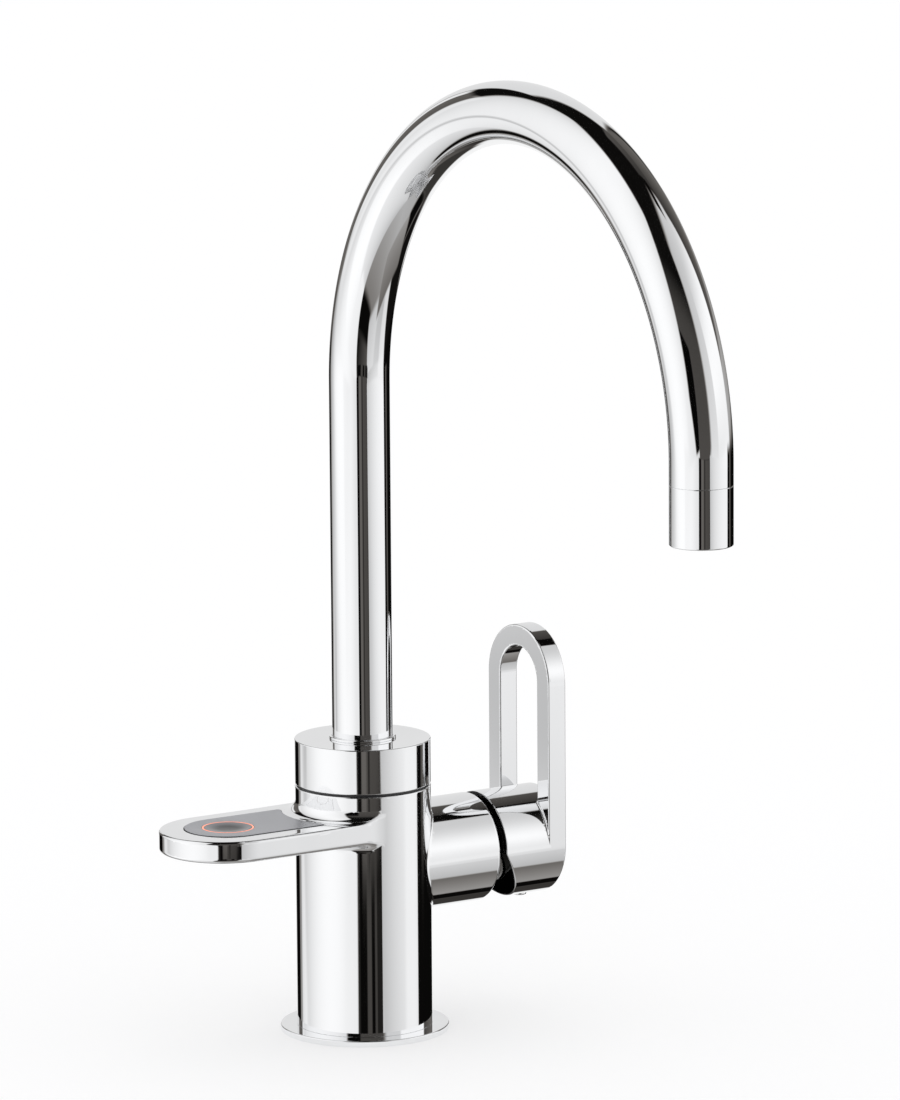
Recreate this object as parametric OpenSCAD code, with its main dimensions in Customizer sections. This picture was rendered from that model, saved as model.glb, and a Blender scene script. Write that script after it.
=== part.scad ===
// Kitchen mixer tap with a swivelling arched spout, a side lever and a touch control
// for filtered water. All sizes are in millimetres. +Z is up, the spout points to -Y,
// the lever is on +X and the touch control on -X. The origin is the centre of the
// flange's underside, on the worktop.

/* [Base] */
// Diameter of the flange on the worktop
flange_d = 61.4; // [58:0.2:70]
// Thickness of the flange
flange_t = 2.3; // [2:0.1:5]
// Radius of the flange's top edge
flange_edge = 0.9; // [0.3:0.1:1.5]
// Thickness of the rubber gasket
gasket_t = 1.2; // [0.8:0.1:1.5]
// Width of the gasket's ring
gasket_w = 3.4; // [2:0.1:4.5]

/* [Body] */
// Diameter of the upright body and of the collar
column_d = 49.5; // [47:0.5:56]
// Height of the body, from the worktop to the joint line under the collar
body_h = 91; // [86:1:110]
// Diameter of the foot that locates the flange
foot_d = 44.8; // [42:0.2:46]
// Core diameter of the thread for the mounting shank
shank_core_d = 30.4; // [28:0.2:32]
// Length of the thread for the mounting shank
shank_thread_l = 14; // [10:1:18]
// Diameter of the well above the thread
well_d = 38.4; // [36:0.2:40]
// Distance from the barrel's axis down to the well's ceiling
well_drop = 28; // [28:0.5:30]
// Core diameter of an inlet port
port_core_d = 9; // [8.5:0.1:9.6]
// Height of the inlet block and of the threads in its ports
port_l = 10; // [8:1:12]
// Diameter of the water passages
passage_d = 7; // [6:0.2:7.6]

/* [Side barrel] */
// Diameter of the side barrel and of the lever's cap
barrel_d = 40; // [39:0.5:46]
// Distance from the joint line down to the barrel's axis
barrel_drop = 29; // [28.5:0.5:30]
// Distance of the barrel's end from the tap's axis
barrel_reach = 47; // [46:0.5:56]
// Diameter of the mixer cartridge
cartridge_d = 35; // [34:0.2:36]
// Diameter of the ball-shaped cover behind the lever
dome_d = 32; // [31:0.2:33]
// Wall of the ball-shaped cover
dome_wall = 1; // [0.8:0.1:1.2]

/* [Spout] */
// Outer diameter of the spout tube
tube_d = 22; // [20:0.5:24]
// Wall of the spout tube
tube_wall = 1.5; // [1:0.1:2]
// Radius of the spout's arch, on the tube's centre line
bend_r = 107.8; // [90:0.2:130]
// Height at which the arch starts
bend_z = 239; // [220:1:300]
// Distance of the nozzle's mouth below the arch's start
mouth_drop = 28; // [27.5:0.5:60]
// Height of the nozzle's sleeve
sleeve_h = 20.7; // [18:0.1:21.2]
// Height of the collar that carries the spout
collar_h = 16.4; // [15:0.2:24]
// Radius of the collar's top edge
collar_edge = 0.8; // [0.3:0.1:2]
// Thickness of the washer in the joint line
washer_t = 0.9; // [0.6:0.1:1.5]
// Height of the ring at the tube's foot
foot_ring_h = 1; // [0.6:0.1:2]
// Width of the ring at the tube's foot
foot_ring_w = 1.2; // [0.8:0.1:2]
// Diameter of the socket in the body
socket_d = 26; // [24:0.2:26.6]
// Length of the spigot in the socket
spigot_l = 15; // [14:0.5:17]
// Outer diameter of the inner tube for filtered water
inner_tube_d = 6; // [5:0.1:6.4]
// Wall of the inner tube
inner_tube_wall = 0.8; // [0.5:0.1:1]

/* [Lever] */
// Height of the lever's loop above the barrel's axis
lever_h = 80.3; // [70:0.1:110]
// Thickness of the lever's plate
plate_t = 7.6; // [6.8:0.1:10]
// Width of the bar round the loop's slot
bar_w = 7.8; // [5:0.1:9]
// Length of the cap that covers the dome
cap_l = 18.6; // [18:0.2:24]
// Gap between the barrel's end and the cap
cap_gap = 2.2; // [1.6:0.1:4]
// Tilt of the lever when the water is full on, in degrees
tilt_max = 25; // [15:1:25]

/* [Touch control] */
// Width of the touch arm
arm_w = 47.2; // [44:0.2:49]
// Distance of the arm's tip from the tap's axis
arm_reach = 82.6; // [80:0.2:100]
// Distance from the joint line down to the arm's top face
arm_drop = 9.3; // [9:0.1:11]
// Thickness of the arm
arm_t = 8; // [7.6:0.1:9]
// Width of the control panel
panel_w = 31.5; // [29:0.1:34]
// Thickness of the control panel
panel_t = 2; // [1.6:0.1:2.4]
// Outer diameter of the lit ring
ring_d = 18.9; // [17:0.1:22]
// Width of the lit ring
ring_w = 0.75; // [0.5:0.05:1.2]
// Travel of the thumb button
button_travel = 0.5; // [0.3:0.1:0.6]

/* [Fits] */
// Radial gap of a part that turns in a bore
running_gap = 0.08; // [0.05:0.01:0.1]
// Radial gap of a part that is screwed or set in its place
seat_gap = 0.05; // [0.02:0.01:0.1]
// Gap between pieces that pass each other without touching
free_gap = 0.4; // [0.3:0.1:0.6]

/* [Hidden] */
$fn = 96;
// Cutters reach past the faces that they open by this much
eps = 1;

// Flange and foot
foot_bore_d = foot_d + 2 * seat_gap;
gasket_seat = 0.1;
gasket_inset = 1.2;
gasket_r = flange_d / 2 - gasket_inset;
lip_r = gasket_r - gasket_w;

// Heights that follow the body's
barrel_z = body_h - barrel_drop;
arm_top = body_h - arm_drop;
well_top = barrel_z - well_drop;

// Water passages: the hot and cold ports stand either side of the X axis
port_x = 5.5;
port_inset = 3;
port_y = (shank_core_d - port_core_d) / 2 - port_inset;
block_top = well_top + port_l;
block_d = shank_core_d - 2 * seat_gap;
filtered_x = -7;
feed_drop = 6;
feed_z = barrel_z - feed_drop;
filtered_z = block_top + inner_tube_d;
valve_in = 1;
valve_z = block_top + valve_in;
valve_l = 5;
valve_bore_d = 3.2;
valve_seat_d = 4.8;
valve_seat_t = 2;
tube_seal_t = 1.8;
tube_seal_gap = 0.02;
tube_seal_seat = 2.2;
tube_seal_down = 4.1;

// Spout socket and spigot
port_up = 8;
sump = 1.5;
socket_floor = barrel_z + port_up - passage_d / 2 - sump;
spigot_d = socket_d - 2 * running_gap;
spigot_z = body_h - spigot_l;
spigot_bore_d = 17;
groove_depth = 1.6;
groove_d = spigot_d - 2 * groove_depth;
o_ring_d = 1.5;
o_ring_gap = 0.02;
o_ring_up = 2.6;
o_ring_pitch = 3.4;
o_ring_zs = [spigot_z + o_ring_up, spigot_z + o_ring_up + o_ring_pitch];
o_ring_play = 0.5;
o_ring_groove_h = o_ring_d + o_ring_play;
keeper_drop = 3.4;
keeper_z = body_h - keeper_drop;
keeper_h = 3;
keeper_d = 2 * (keeper_h / 2 - free_gap);
keeper_screw_d = 5;
keeper_screw_l = 8;
keeper_screw_in = 0.3;
key_d = 2.9;
key_depth = 3;
washer_w = 0.6;
washer_gap = 0.2;

// Collar, tube and nozzle
collar_z = body_h + washer_t;
collar_top = collar_z + collar_h;
neck_wall = 1;
neck_d = tube_d + 2 * neck_wall;
neck_h = 8;
tube_z = collar_z + neck_h;
collar_rim = 2.2;
collar_roof = 3.4;
collar_sleeve = 2.5;
outlet_y = -2 * bend_r;
mouth_z = bend_z - mouth_drop;
sleeve_top = mouth_z + sleeve_h;
tube_bore_d = tube_d - 2 * tube_wall;
insert_d = tube_bore_d - 2 * seat_gap;
lip_h = 1.1;
lip_w = 0.9;
insert_h = 10;
seal_h = 2.4;
bush_wall = 2.2;
bush_over = 6.5;
insert_z = mouth_z + lip_h;
seal_z = insert_z + insert_h;
bush_z = seal_z + seal_h;
nozzle_wall = 0.5;
nozzle_d = inner_tube_d + 2 * nozzle_wall;
nozzle_bore_d = 4;
inner_tube_in = 6;
inner_tube_end = insert_z + inner_tube_in;
jets = 16;
jet_d = 2;
jet_r = (nozzle_d + insert_d) / 4;

// Mixer cartridge, measured along X from the tap's axis
cartridge_l = 30;
chamber_gap = 0.1;
chamber_x = barrel_reach - cartridge_l;
chamber_d = cartridge_d + 2 * chamber_gap;
base_t = 4;
disc_t = 3;
seal_t = 1;
seal_od = 9.8;
disc_port_d = 6;
fixed_disc_x = chamber_x + base_t;
moving_disc_x = fixed_disc_x + disc_t;
carrier_x = moving_disc_x + disc_t;
carrier_t = 6;
guide_x = carrier_x + carrier_t + free_gap;
guide_flange_t = 2.2;
guide_flange_d = 26;
housing_wall = 1.9;
wall_x = guide_x + guide_flange_t + free_gap;
housing_end_t = 4;
nut_x = wall_x + housing_end_t;
nut_t = 6.5;
nut_notch_w = 3;
nut_notch_depth = 1.2;
neck_l = 10;
neck_end_x = nut_x + neck_l;
housing_neck_d = 26.4;
guide_bore_d = 21;
guide_d = guide_bore_d - 2 * running_gap;
guide_w = 6.3;
pivot_in = 0.5;
pivot_x = nut_x + nut_t - pivot_in;
pin_d = 3;
pin_l = 20;
dome_x = nut_x + nut_t;
dome_hole_d = 23;

// Stem of the cartridge, which the lever is fixed to
ball_d = 5.2;
ball_gap = 0.3;
stem_play = 0.15;
stem_w = guide_w - 2 * stem_play;
stem_h = 7;
stem_neck_d = 3;
ball_in = 0.2;
ball_x = carrier_x + ball_d / 2 + ball_in;
ball_rise = (pivot_x - ball_x) * sin(tilt_max);
stem_back = 3;
stem_x = pivot_x - stem_back;
disc_gap = 0.55;
disc_d = cartridge_d - 2 * (housing_wall + ball_rise + disc_gap);
disc_rim = 3;
guide_roof = 0.6;
guide_up = ball_rise + ball_d / 2 - guide_roof;
guide_down = (neck_end_x - pivot_x) * tan(tilt_max) + stem_h / 2 / cos(tilt_max) + free_gap;

// Lever
cap_x = barrel_reach + cap_gap;
plate_x = cap_x + cap_l;
lever_x = plate_x + plate_t;
dome_gap = 0.7;
cavity_d = dome_d + 2 * dome_gap;
slot_w = barrel_d - 2 * bar_w;
loop_z = barrel_z + lever_h - barrel_d / 2;
tilt_spare = 2.3;
cut_slope = tan(tilt_max + tilt_spare);
plate_front = 4.4;
stem_end = lever_x - plate_front;
grub_x = plate_x;
grub_d = 5;
plug_d = 5.4;
plug_h = 4.6;
plug_proud = 0.8;
plug_z = barrel_z - barrel_d / 2 - plug_proud;
grub_z = plug_z + plug_h;

// Touch arm
arm_z = arm_top - arm_t;
tip_x = arm_reach - arm_w / 2;
arm_fillet = 3;
under_fillet = 2;
panel_back = 1.5;
panel_tip_x = tip_x - panel_back;
panel_foot_r = 30;
panel_gap = 0.15;
ledge = 1.6;
gasket_h = 0.4;
panel_z = arm_top - panel_t;
ledge_z = panel_z - gasket_h;
pocket_floor = 1.5;
pocket_z = arm_z + pocket_floor;
board_t = 1.1;
board_gap = 0.3;
stand_h = 0.7;
board_z = pocket_z + stand_h;
board_top = board_z + board_t;
switch_h = 1.2;
switch_case_h = 0.7;
switch_top = board_top + switch_h;
switch_w = 5;
switch_tip_d = 2.6;
button_gap = 0.1;
button_d = ring_d - 2 * ring_w - 2 * button_gap;
button_rim = 1.2;
button_land = 0.4;
dish_depth = 0.9;
button_stem_d = 3.4;
cable_d = 3.6;
grommet_w = 0.8;
grommet_in = 1;
grommet_h = 3;
grommet_d = cable_d + 2 * grommet_w;
cable_x = block_d / 2 + grommet_d / 2 + free_gap;
cable_z = (pocket_z + ledge_z) / 2;
post_d = 4;
screw_head_d = 3.4;
screw_head_h = 0.9;
screw_key_d = 1.5;
screw_d = 1.6;
screw_bite = 0.5;
screw_x = 38;
screw_y = 10.5;
screw_places = [[-screw_x, screw_y], [-screw_x, -screw_y]];

// A bar or a bore along the barrel's axis, from x0 to x1
module along_x(x0, x1, d, y = 0, z = 0) {
    translate([x0, y, barrel_z + z]) rotate([0, 90, 0]) cylinder(h = x1 - x0, d = d);
}

// A ring along the barrel's axis
module ring_x(x0, x1, d, bore, y = 0, z = 0) {
    difference() {
        along_x(x0, x1, d, y, z);
        along_x(x0 - eps, x1 + eps, bore, y, z);
    }
}

// An upright ring
module ring_z(z0, z1, d, bore, x = 0, y = 0) {
    translate([x, y, z0]) difference() {
        cylinder(h = z1 - z0, d = d);
        translate([0, 0, -eps]) cylinder(h = z1 - z0 + 2 * eps, d = bore);
    }
}

// An upright disc whose top edge is rounded
module edged_disc(z0, z1, d, edge) {
    translate([0, 0, z0]) rotate_extrude() {
        square([d / 2, z1 - z0 - edge]);
        square([d / 2 - edge, z1 - z0]);
        intersection() {
            translate([d / 2 - edge, z1 - z0 - edge]) circle(edge);
            square([d / 2, z1 - z0]);
        }
    }
}

// A rod that follows the spout: up the leg, over the arch and down to the outlet
module spout_path(d, z0, z1, over = 0) {
    translate([0, 0, z0 - over]) cylinder(h = bend_z - z0 + over, d = d);
    translate([0, -bend_r, bend_z]) rotate([90, 0, 90])
        rotate_extrude(angle = 180) translate([bend_r, 0]) circle(d = d);
    translate([0, outlet_y, z1 - over]) cylinder(h = bend_z - z1 + over, d = d);
}

// Outline of the arm: two straight sides and a round tip
module arm_outline(w, x) {
    translate([-x, 0]) circle(d = w);
    translate([-x, -w / 2]) square([x, w]);
}

// Outline of the panel, which ends on an arc about the tap's axis
module panel_outline(inset) {
    difference() {
        arm_outline(panel_w - 2 * inset, panel_tip_x);
        circle(r = panel_foot_r + inset);
    }
}

// A prism of the panel's outline
module panel_prism(z0, z1, inset) {
    translate([0, 0, z0]) linear_extrude(z1 - z0) panel_outline(inset);
}

// A ring of fillet section round the column, above or below the arm
module arm_fillet_ring(r, up) {
    rotate_extrude() translate([column_d / 2, 0]) difference() {
        translate([-eps, up ? 0 : -r]) square([r + eps, r]);
        translate([r, up ? r : -r]) circle(r);
    }
}

module base_flange() {
    color("silver") difference() {
        edged_disc(0, flange_t, flange_d, flange_edge);
        translate([0, 0, -eps]) cylinder(h = flange_t + 2 * eps, d = foot_bore_d);
        ring_z(-eps, gasket_seat + gasket_t, 2 * gasket_r + 2 * seat_gap, 2 * lip_r - 2 * seat_gap);
    }
}

module base_gasket() {
    color("dimgray") ring_z(gasket_seat, gasket_seat + gasket_t, 2 * gasket_r, 2 * lip_r);
}

module arm_solid() {
    translate([0, 0, arm_z]) linear_extrude(arm_t) arm_outline(arm_w, tip_x);
    intersection() {
        union() {
            translate([0, 0, arm_top]) arm_fillet_ring(arm_fillet, true);
            translate([0, 0, arm_z]) arm_fillet_ring(under_fillet, false);
        }
        translate([0, 0, arm_z - 2 * under_fillet])
            linear_extrude(arm_t + 4 * arm_fillet) arm_outline(arm_w, tip_x);
    }
}

// The hot and cold passages, side -1 or 1
module feed_passage(side) {
    y = side * port_y;
    translate([port_x, y, block_top - eps])
        cylinder(h = feed_z + passage_d / 2 - block_top + eps, d = passage_d);
    along_x(port_x, chamber_x + eps, passage_d, y, feed_z - barrel_z);
}

module filtered_passage() {
    translate([filtered_x, 0, block_top - eps])
        cylinder(h = filtered_z + inner_tube_d / 2 - block_top + eps, d = inner_tube_d);
    translate([filtered_x, 0, filtered_z]) rotate([0, 90, 0])
        cylinder(h = -filtered_x, d = inner_tube_d);
    translate([0, 0, filtered_z - inner_tube_d / 2])
        cylinder(h = socket_floor - filtered_z + inner_tube_d, d = inner_tube_d + 2 * running_gap);
    translate([0, 0, socket_floor - tube_seal_down - tube_seal_seat / 2])
        cylinder(h = tube_seal_seat, d = inner_tube_d + 2 * (tube_seal_t + 2 * tube_seal_gap));
}

module cable_passage() {
    translate([-cable_x, 0, well_top - eps]) cylinder(h = cable_z - well_top + eps, d = cable_d);
    translate([-cable_x, 0, well_top - grommet_in])
        cylinder(h = grommet_h, d = grommet_d + 2 * seat_gap);
    translate([-panel_foot_r - 2 * ledge, 0, cable_z]) rotate([0, 90, 0])
        cylinder(h = panel_foot_r + 2 * ledge - cable_x, d = cable_d);
    translate([-cable_x, 0, cable_z]) sphere(d = cable_d);
}

module panel_pocket() {
    panel_prism(ledge_z, arm_top + eps, -panel_gap);
    panel_prism(pocket_z, ledge_z + eps, ledge);
}

// Posts in the arm's pocket that carry the circuit board
module board_posts() {
    for (p = screw_places) translate([p.x, p.y, pocket_z - eps / 2])
        cylinder(h = stand_h + eps / 2, d = post_d);
}

module tap_body() {
    color("silver") difference() {
        union() {
            cylinder(h = flange_t + eps, d = foot_d);
            translate([0, 0, flange_t]) cylinder(h = body_h - flange_t, d = column_d);
            along_x(0, barrel_reach, barrel_d);
            arm_solid();
        }
        translate([0, 0, -eps]) cylinder(h = shank_thread_l + 2 * eps, d = shank_core_d);
        translate([0, 0, shank_thread_l]) cylinder(h = well_top - shank_thread_l, d = well_d);
        translate([0, 0, well_top - eps]) cylinder(h = port_l + eps, d = shank_core_d);
        translate([0, 0, socket_floor]) cylinder(h = body_h - socket_floor + eps, d = socket_d);
        along_x(chamber_x, barrel_reach + eps, chamber_d);
        along_x(socket_d / 2 - 3, chamber_x + eps, passage_d, 0, port_up);
        for (side = [-1, 1]) feed_passage(side);
        filtered_passage();
        cable_passage();
        difference() {
            panel_pocket();
            board_posts();
        }
        for (p = screw_places) translate([p.x, p.y, pocket_z - screw_bite - seat_gap])
            cylinder(h = stand_h + screw_bite + eps, d = screw_d);
        translate([0, spigot_d / 2 - eps, keeper_z]) rotate([-90, 0, 0])
            cylinder(h = column_d / 2, d = keeper_screw_d + 2 * seat_gap);
    }
}

module inlet_block() {
    color("goldenrod") difference() {
        translate([0, 0, well_top]) cylinder(h = port_l, d = block_d);
        for (p = [[port_x, port_y], [port_x, -port_y], [filtered_x, 0]])
            translate([p.x, p.y, well_top - eps]) cylinder(h = port_l + 2 * eps, d = port_core_d);
    }
}

// A non-return insert in a hot or cold passage
module check_valve(side) {
    translate([port_x, side * port_y, valve_z]) difference() {
        cylinder(h = valve_l, d = passage_d - 2 * seat_gap);
        translate([0, 0, -eps]) cylinder(h = valve_l - valve_seat_t + eps, d = valve_seat_d);
        translate([0, 0, -eps]) cylinder(h = valve_l + 2 * eps, d = valve_bore_d);
    }
}

module hot_check_valve() {
    color("ivory") check_valve(1);
}

module cold_check_valve() {
    color("ivory") check_valve(-1);
}

module filtered_tube_seal() {
    color("black") translate([0, 0, socket_floor - tube_seal_down]) rotate_extrude()
        translate([inner_tube_d / 2 + tube_seal_gap + tube_seal_t / 2, 0]) circle(d = tube_seal_t);
}

module cable_grommet() {
    color("black") ring_z(well_top - grommet_in, well_top - grommet_in + grommet_h, grommet_d,
        grommet_d - 3 * grommet_w, -cable_x);
}

module swivel_washer() {
    color("black") ring_z(body_h, collar_z, column_d - 2 * washer_w, socket_d + 2 * washer_gap);
}

module spout_retaining_screw() {
    tip_y = groove_d / 2 + free_gap;
    shank_y = socket_d / 2 + keeper_screw_in;
    end_y = shank_y + keeper_screw_l;
    color("gray") difference() {
        union() {
            translate([0, tip_y, keeper_z]) rotate([-90, 0, 0])
                cylinder(h = shank_y - tip_y + eps, d = keeper_d);
            translate([0, shank_y, keeper_z]) rotate([-90, 0, 0])
                cylinder(h = keeper_screw_l, d = keeper_screw_d);
        }
        translate([0, end_y - key_depth, keeper_z]) rotate([-90, 0, 0])
            cylinder(h = key_depth + eps, d = key_d, $fn = 6);
    }
}

module control_panel() {
    color("gray") difference() {
        panel_prism(panel_z, arm_top, 0);
        translate([-panel_tip_x, 0, panel_z - eps])
            cylinder(h = panel_t + 2 * eps, d = ring_d + 2 * seat_gap);
    }
}

module panel_gasket() {
    color("black") difference() {
        panel_prism(ledge_z, panel_z, panel_gap);
        panel_prism(ledge_z - eps, panel_z + eps, ledge);
    }
}

module led_ring() {
    color("orangered") ring_z(board_top, arm_top, ring_d, ring_d - 2 * ring_w, -panel_tip_x);
}

module control_board() {
    color("darkgreen") difference() {
        panel_prism(board_z, board_top, ledge + board_gap);
        for (p = screw_places) translate([p.x, p.y, board_z - eps])
            cylinder(h = board_t + 2 * eps, d = screw_d + 2 * seat_gap);
    }
}

module tact_switch() {
    color("black") {
        translate([-panel_tip_x - switch_w / 2, -switch_w / 2, board_top])
            cube([switch_w, switch_w, switch_case_h]);
        translate([-panel_tip_x, 0, board_top]) cylinder(h = switch_h, d = switch_tip_d);
    }
}

module board_screws() {
    color("gray") for (p = screw_places) translate([p.x, p.y, 0]) {
        translate([0, 0, board_top]) difference() {
            cylinder(h = screw_head_h, d = screw_head_d);
            translate([0, 0, screw_head_h / 2]) cylinder(h = screw_head_h, d = screw_key_d, $fn = 6);
        }
        translate([0, 0, pocket_z - screw_bite])
            cylinder(h = board_top - pocket_z + screw_bite, d = screw_d - 2 * seat_gap);
    }
}

module touch_button() {
    dish_r = (pow(button_d / 2 - button_land, 2) + pow(dish_depth, 2)) / (2 * dish_depth);
    stem_z = switch_top + button_travel + button_gap;
    color("gray") difference() {
        union() {
            translate([-panel_tip_x, 0, arm_top - button_rim - dish_depth])
                cylinder(h = button_rim + dish_depth, d = button_d);
            translate([-panel_tip_x, 0, stem_z])
                cylinder(h = arm_top - button_rim - stem_z, d = button_stem_d);
        }
        translate([-panel_tip_x, 0, arm_top - dish_depth + dish_r]) sphere(r = dish_r);
    }
}

// The three ports of the cartridge, as [y, z] from its axis
cartridge_ports = [[port_y, feed_z - barrel_z], [-port_y, feed_z - barrel_z], [0, port_up]];

module port_bores(x0, x1, d) {
    for (p = cartridge_ports) along_x(x0, x1, d, p[0], p[1]);
}

module cartridge_seals() {
    color("black") for (p = cartridge_ports)
        ring_x(chamber_x, chamber_x + seal_t, seal_od - 2 * seat_gap, passage_d, p[0], p[1]);
}

module cartridge_base() {
    color("white") difference() {
        along_x(chamber_x, fixed_disc_x, cartridge_d);
        port_bores(chamber_x - eps, chamber_x + seal_t, seal_od);
        port_bores(chamber_x - eps, fixed_disc_x + eps, passage_d);
    }
}

module cartridge_housing() {
    color("white") difference() {
        union() {
            along_x(fixed_disc_x, nut_x, cartridge_d);
            along_x(fixed_disc_x, neck_end_x, housing_neck_d);
        }
        along_x(fixed_disc_x - eps, wall_x, cartridge_d - 2 * housing_wall);
        along_x(fixed_disc_x - eps, neck_end_x + eps, guide_bore_d);
    }
}

module fixed_ceramic_disc() {
    color("whitesmoke") difference() {
        along_x(fixed_disc_x, moving_disc_x, cartridge_d - 2 * (housing_wall + chamber_gap));
        port_bores(fixed_disc_x - eps, moving_disc_x + eps, disc_port_d);
    }
}

module moving_ceramic_disc() {
    color("whitesmoke") difference() {
        along_x(moving_disc_x, carrier_x, disc_d);
        along_x(moving_disc_x - eps, moving_disc_x + disc_t / 2, disc_d - 2 * disc_rim);
    }
}

module disc_carrier() {
    color("steelblue") ring_x(carrier_x, carrier_x + carrier_t, disc_d, ball_d + 2 * ball_gap);
}

module cartridge_nut() {
    color("goldenrod") difference() {
        ring_x(nut_x, dome_x, cartridge_d, housing_neck_d + 2 * seat_gap);
        for (a = [45:90:315]) translate([dome_x, 0, barrel_z]) rotate([a, 0, 0])
            translate([-nut_notch_depth, -nut_notch_w / 2, cartridge_d / 2 - nut_notch_depth])
                cube(nut_notch_w);
    }
}

module dome_cover() {
    color("gray") difference() {
        translate([pivot_x, 0, barrel_z]) sphere(d = dome_d);
        translate([pivot_x, 0, barrel_z]) sphere(d = dome_d - 2 * dome_wall);
        along_x(pivot_x - dome_d, dome_x, 2 * dome_d);
        along_x(pivot_x, pivot_x + dome_d, dome_hole_d);
    }
}

module spindle_guide() {
    color("steelblue") difference() {
        union() {
            along_x(guide_x, guide_x + guide_flange_t, guide_flange_d);
            along_x(guide_x, neck_end_x, guide_d);
        }
        translate([guide_x - eps, -guide_w / 2, barrel_z - guide_down])
            cube([neck_end_x - guide_x + 2 * eps, guide_w, guide_up + guide_down]);
        translate([pivot_x, 0, barrel_z]) rotate([90, 0, 0])
            cylinder(h = guide_flange_d, d = pin_d + 2 * seat_gap, center = true);
    }
}

module pivot_pin() {
    color("gray") translate([pivot_x, 0, barrel_z]) rotate([90, 0, 0])
        cylinder(h = pin_l, d = pin_d, center = true);
}

module cartridge_stem() {
    color("goldenrod") difference() {
        union() {
            translate([stem_x, -stem_w / 2, barrel_z - stem_h / 2])
                cube([stem_end - stem_x, stem_w, stem_h]);
            along_x(ball_x, stem_x + eps, stem_neck_d);
            translate([ball_x, 0, barrel_z]) sphere(d = ball_d);
        }
        translate([pivot_x, 0, barrel_z]) rotate([90, 0, 0])
            cylinder(h = 2 * stem_w, d = pin_d + 2 * running_gap, center = true);
    }
}

// Outline of the loop, in Y and Z, with its slot down to the round cap
module loop_outline() {
    difference() {
        union() {
            translate([0, loop_z]) circle(d = barrel_d);
            translate([-barrel_d / 2, barrel_z]) square([barrel_d, loop_z - barrel_z]);
        }
        translate([0, loop_z]) circle(d = slot_w);
        translate([-slot_w / 2, barrel_z]) square([slot_w, loop_z - barrel_z]);
    }
    translate([0, barrel_z]) circle(d = barrel_d);
}

module lever_handle() {
    drop = barrel_d / 2 + eps;
    color("silver") difference() {
        union() {
            along_x(cap_x, plate_x + eps, barrel_d);
            translate([plate_x, 0, 0]) rotate([90, 0, 90]) linear_extrude(plate_t) loop_outline();
        }
        translate([pivot_x, 0, barrel_z]) sphere(d = cavity_d);
        translate([0, barrel_d, barrel_z]) rotate([90, 0, 0]) linear_extrude(2 * barrel_d)
            polygon([[cap_x - eps, 0], [cap_x, 0], [cap_x + drop * cut_slope, -drop],
                [cap_x - eps, -drop]]);
        translate([pivot_x, -stem_w / 2 - seat_gap, barrel_z - stem_h / 2 - seat_gap])
            cube([stem_end - pivot_x, stem_w + 2 * seat_gap, stem_h + 2 * seat_gap]);
        translate([grub_x, 0, plug_z - eps]) cylinder(h = plug_h + eps, d = plug_d + 2 * seat_gap);
        translate([grub_x, 0, plug_z]) cylinder(h = barrel_z - plug_z, d = grub_d + 2 * seat_gap);
    }
}

module lever_grub_screw() {
    color("gray") translate([grub_x, 0, grub_z]) difference() {
        cylinder(h = barrel_z - stem_h / 2 - grub_z, d = grub_d);
        translate([0, 0, -eps]) cylinder(h = key_depth + eps, d = key_d, $fn = 6);
    }
}

module screw_plug() {
    color("silver") translate([grub_x, 0, plug_z]) cylinder(h = plug_h, d = plug_d);
}

module spout_tube() {
    color("silver") difference() {
        spout_path(tube_d, tube_z, sleeve_top);
        spout_path(tube_bore_d, tube_z, sleeve_top, eps);
    }
}

module spout_collar() {
    color("silver") difference() {
        edged_disc(collar_z, collar_top, column_d, collar_edge);
        translate([0, 0, collar_z - eps]) cylinder(h = neck_h + eps, d = neck_d + 2 * seat_gap);
        translate([0, 0, collar_z]) cylinder(h = collar_h + eps, d = tube_d + 2 * seat_gap);
        ring_z(collar_z - eps, collar_top - collar_roof, column_d - 2 * collar_rim,
            neck_d + 2 * collar_sleeve);
    }
}

module spout_spigot() {
    color("goldenrod") difference() {
        union() {
            translate([0, 0, spigot_z]) cylinder(h = collar_z - spigot_z, d = spigot_d);
            translate([0, 0, collar_z]) cylinder(h = neck_h, d = neck_d);
        }
        translate([0, 0, spigot_z - eps]) cylinder(h = tube_z - spigot_z + 2 * eps, d = spigot_bore_d);
        for (z = o_ring_zs) ring_z(z - o_ring_groove_h / 2, z + o_ring_groove_h / 2,
            spigot_d + eps, groove_d);
        ring_z(keeper_z - keeper_h / 2, keeper_z + keeper_h / 2, spigot_d + eps, groove_d);
    }
}

module spout_o_rings() {
    color("black") for (z = o_ring_zs) translate([0, 0, z]) rotate_extrude()
        translate([socket_d / 2 - o_ring_gap - o_ring_d / 2, 0]) circle(d = o_ring_d);
}

module spout_foot_ring() {
    color("silver") ring_z(collar_top, collar_top + foot_ring_h, tube_d + 2 * foot_ring_w,
        tube_d + 2 * seat_gap);
}

module inner_water_tube() {
    color("whitesmoke") difference() {
        spout_path(inner_tube_d, filtered_z + inner_tube_d / 2, inner_tube_end);
        spout_path(inner_tube_d - 2 * inner_tube_wall, filtered_z + inner_tube_d / 2, inner_tube_end,
            eps);
    }
}

module outlet_bush() {
    color("goldenrod") ring_z(bush_z, sleeve_top + bush_over, insert_d, insert_d - 2 * bush_wall,
        0, outlet_y);
}

module nozzle_sleeve() {
    color("silver") difference() {
        ring_z(mouth_z, sleeve_top, tube_d, tube_bore_d - 2 * lip_w, 0, outlet_y);
        ring_z(insert_z, sleeve_top + eps, tube_bore_d, tube_bore_d - 3 * lip_w, 0, outlet_y);
    }
}

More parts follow.
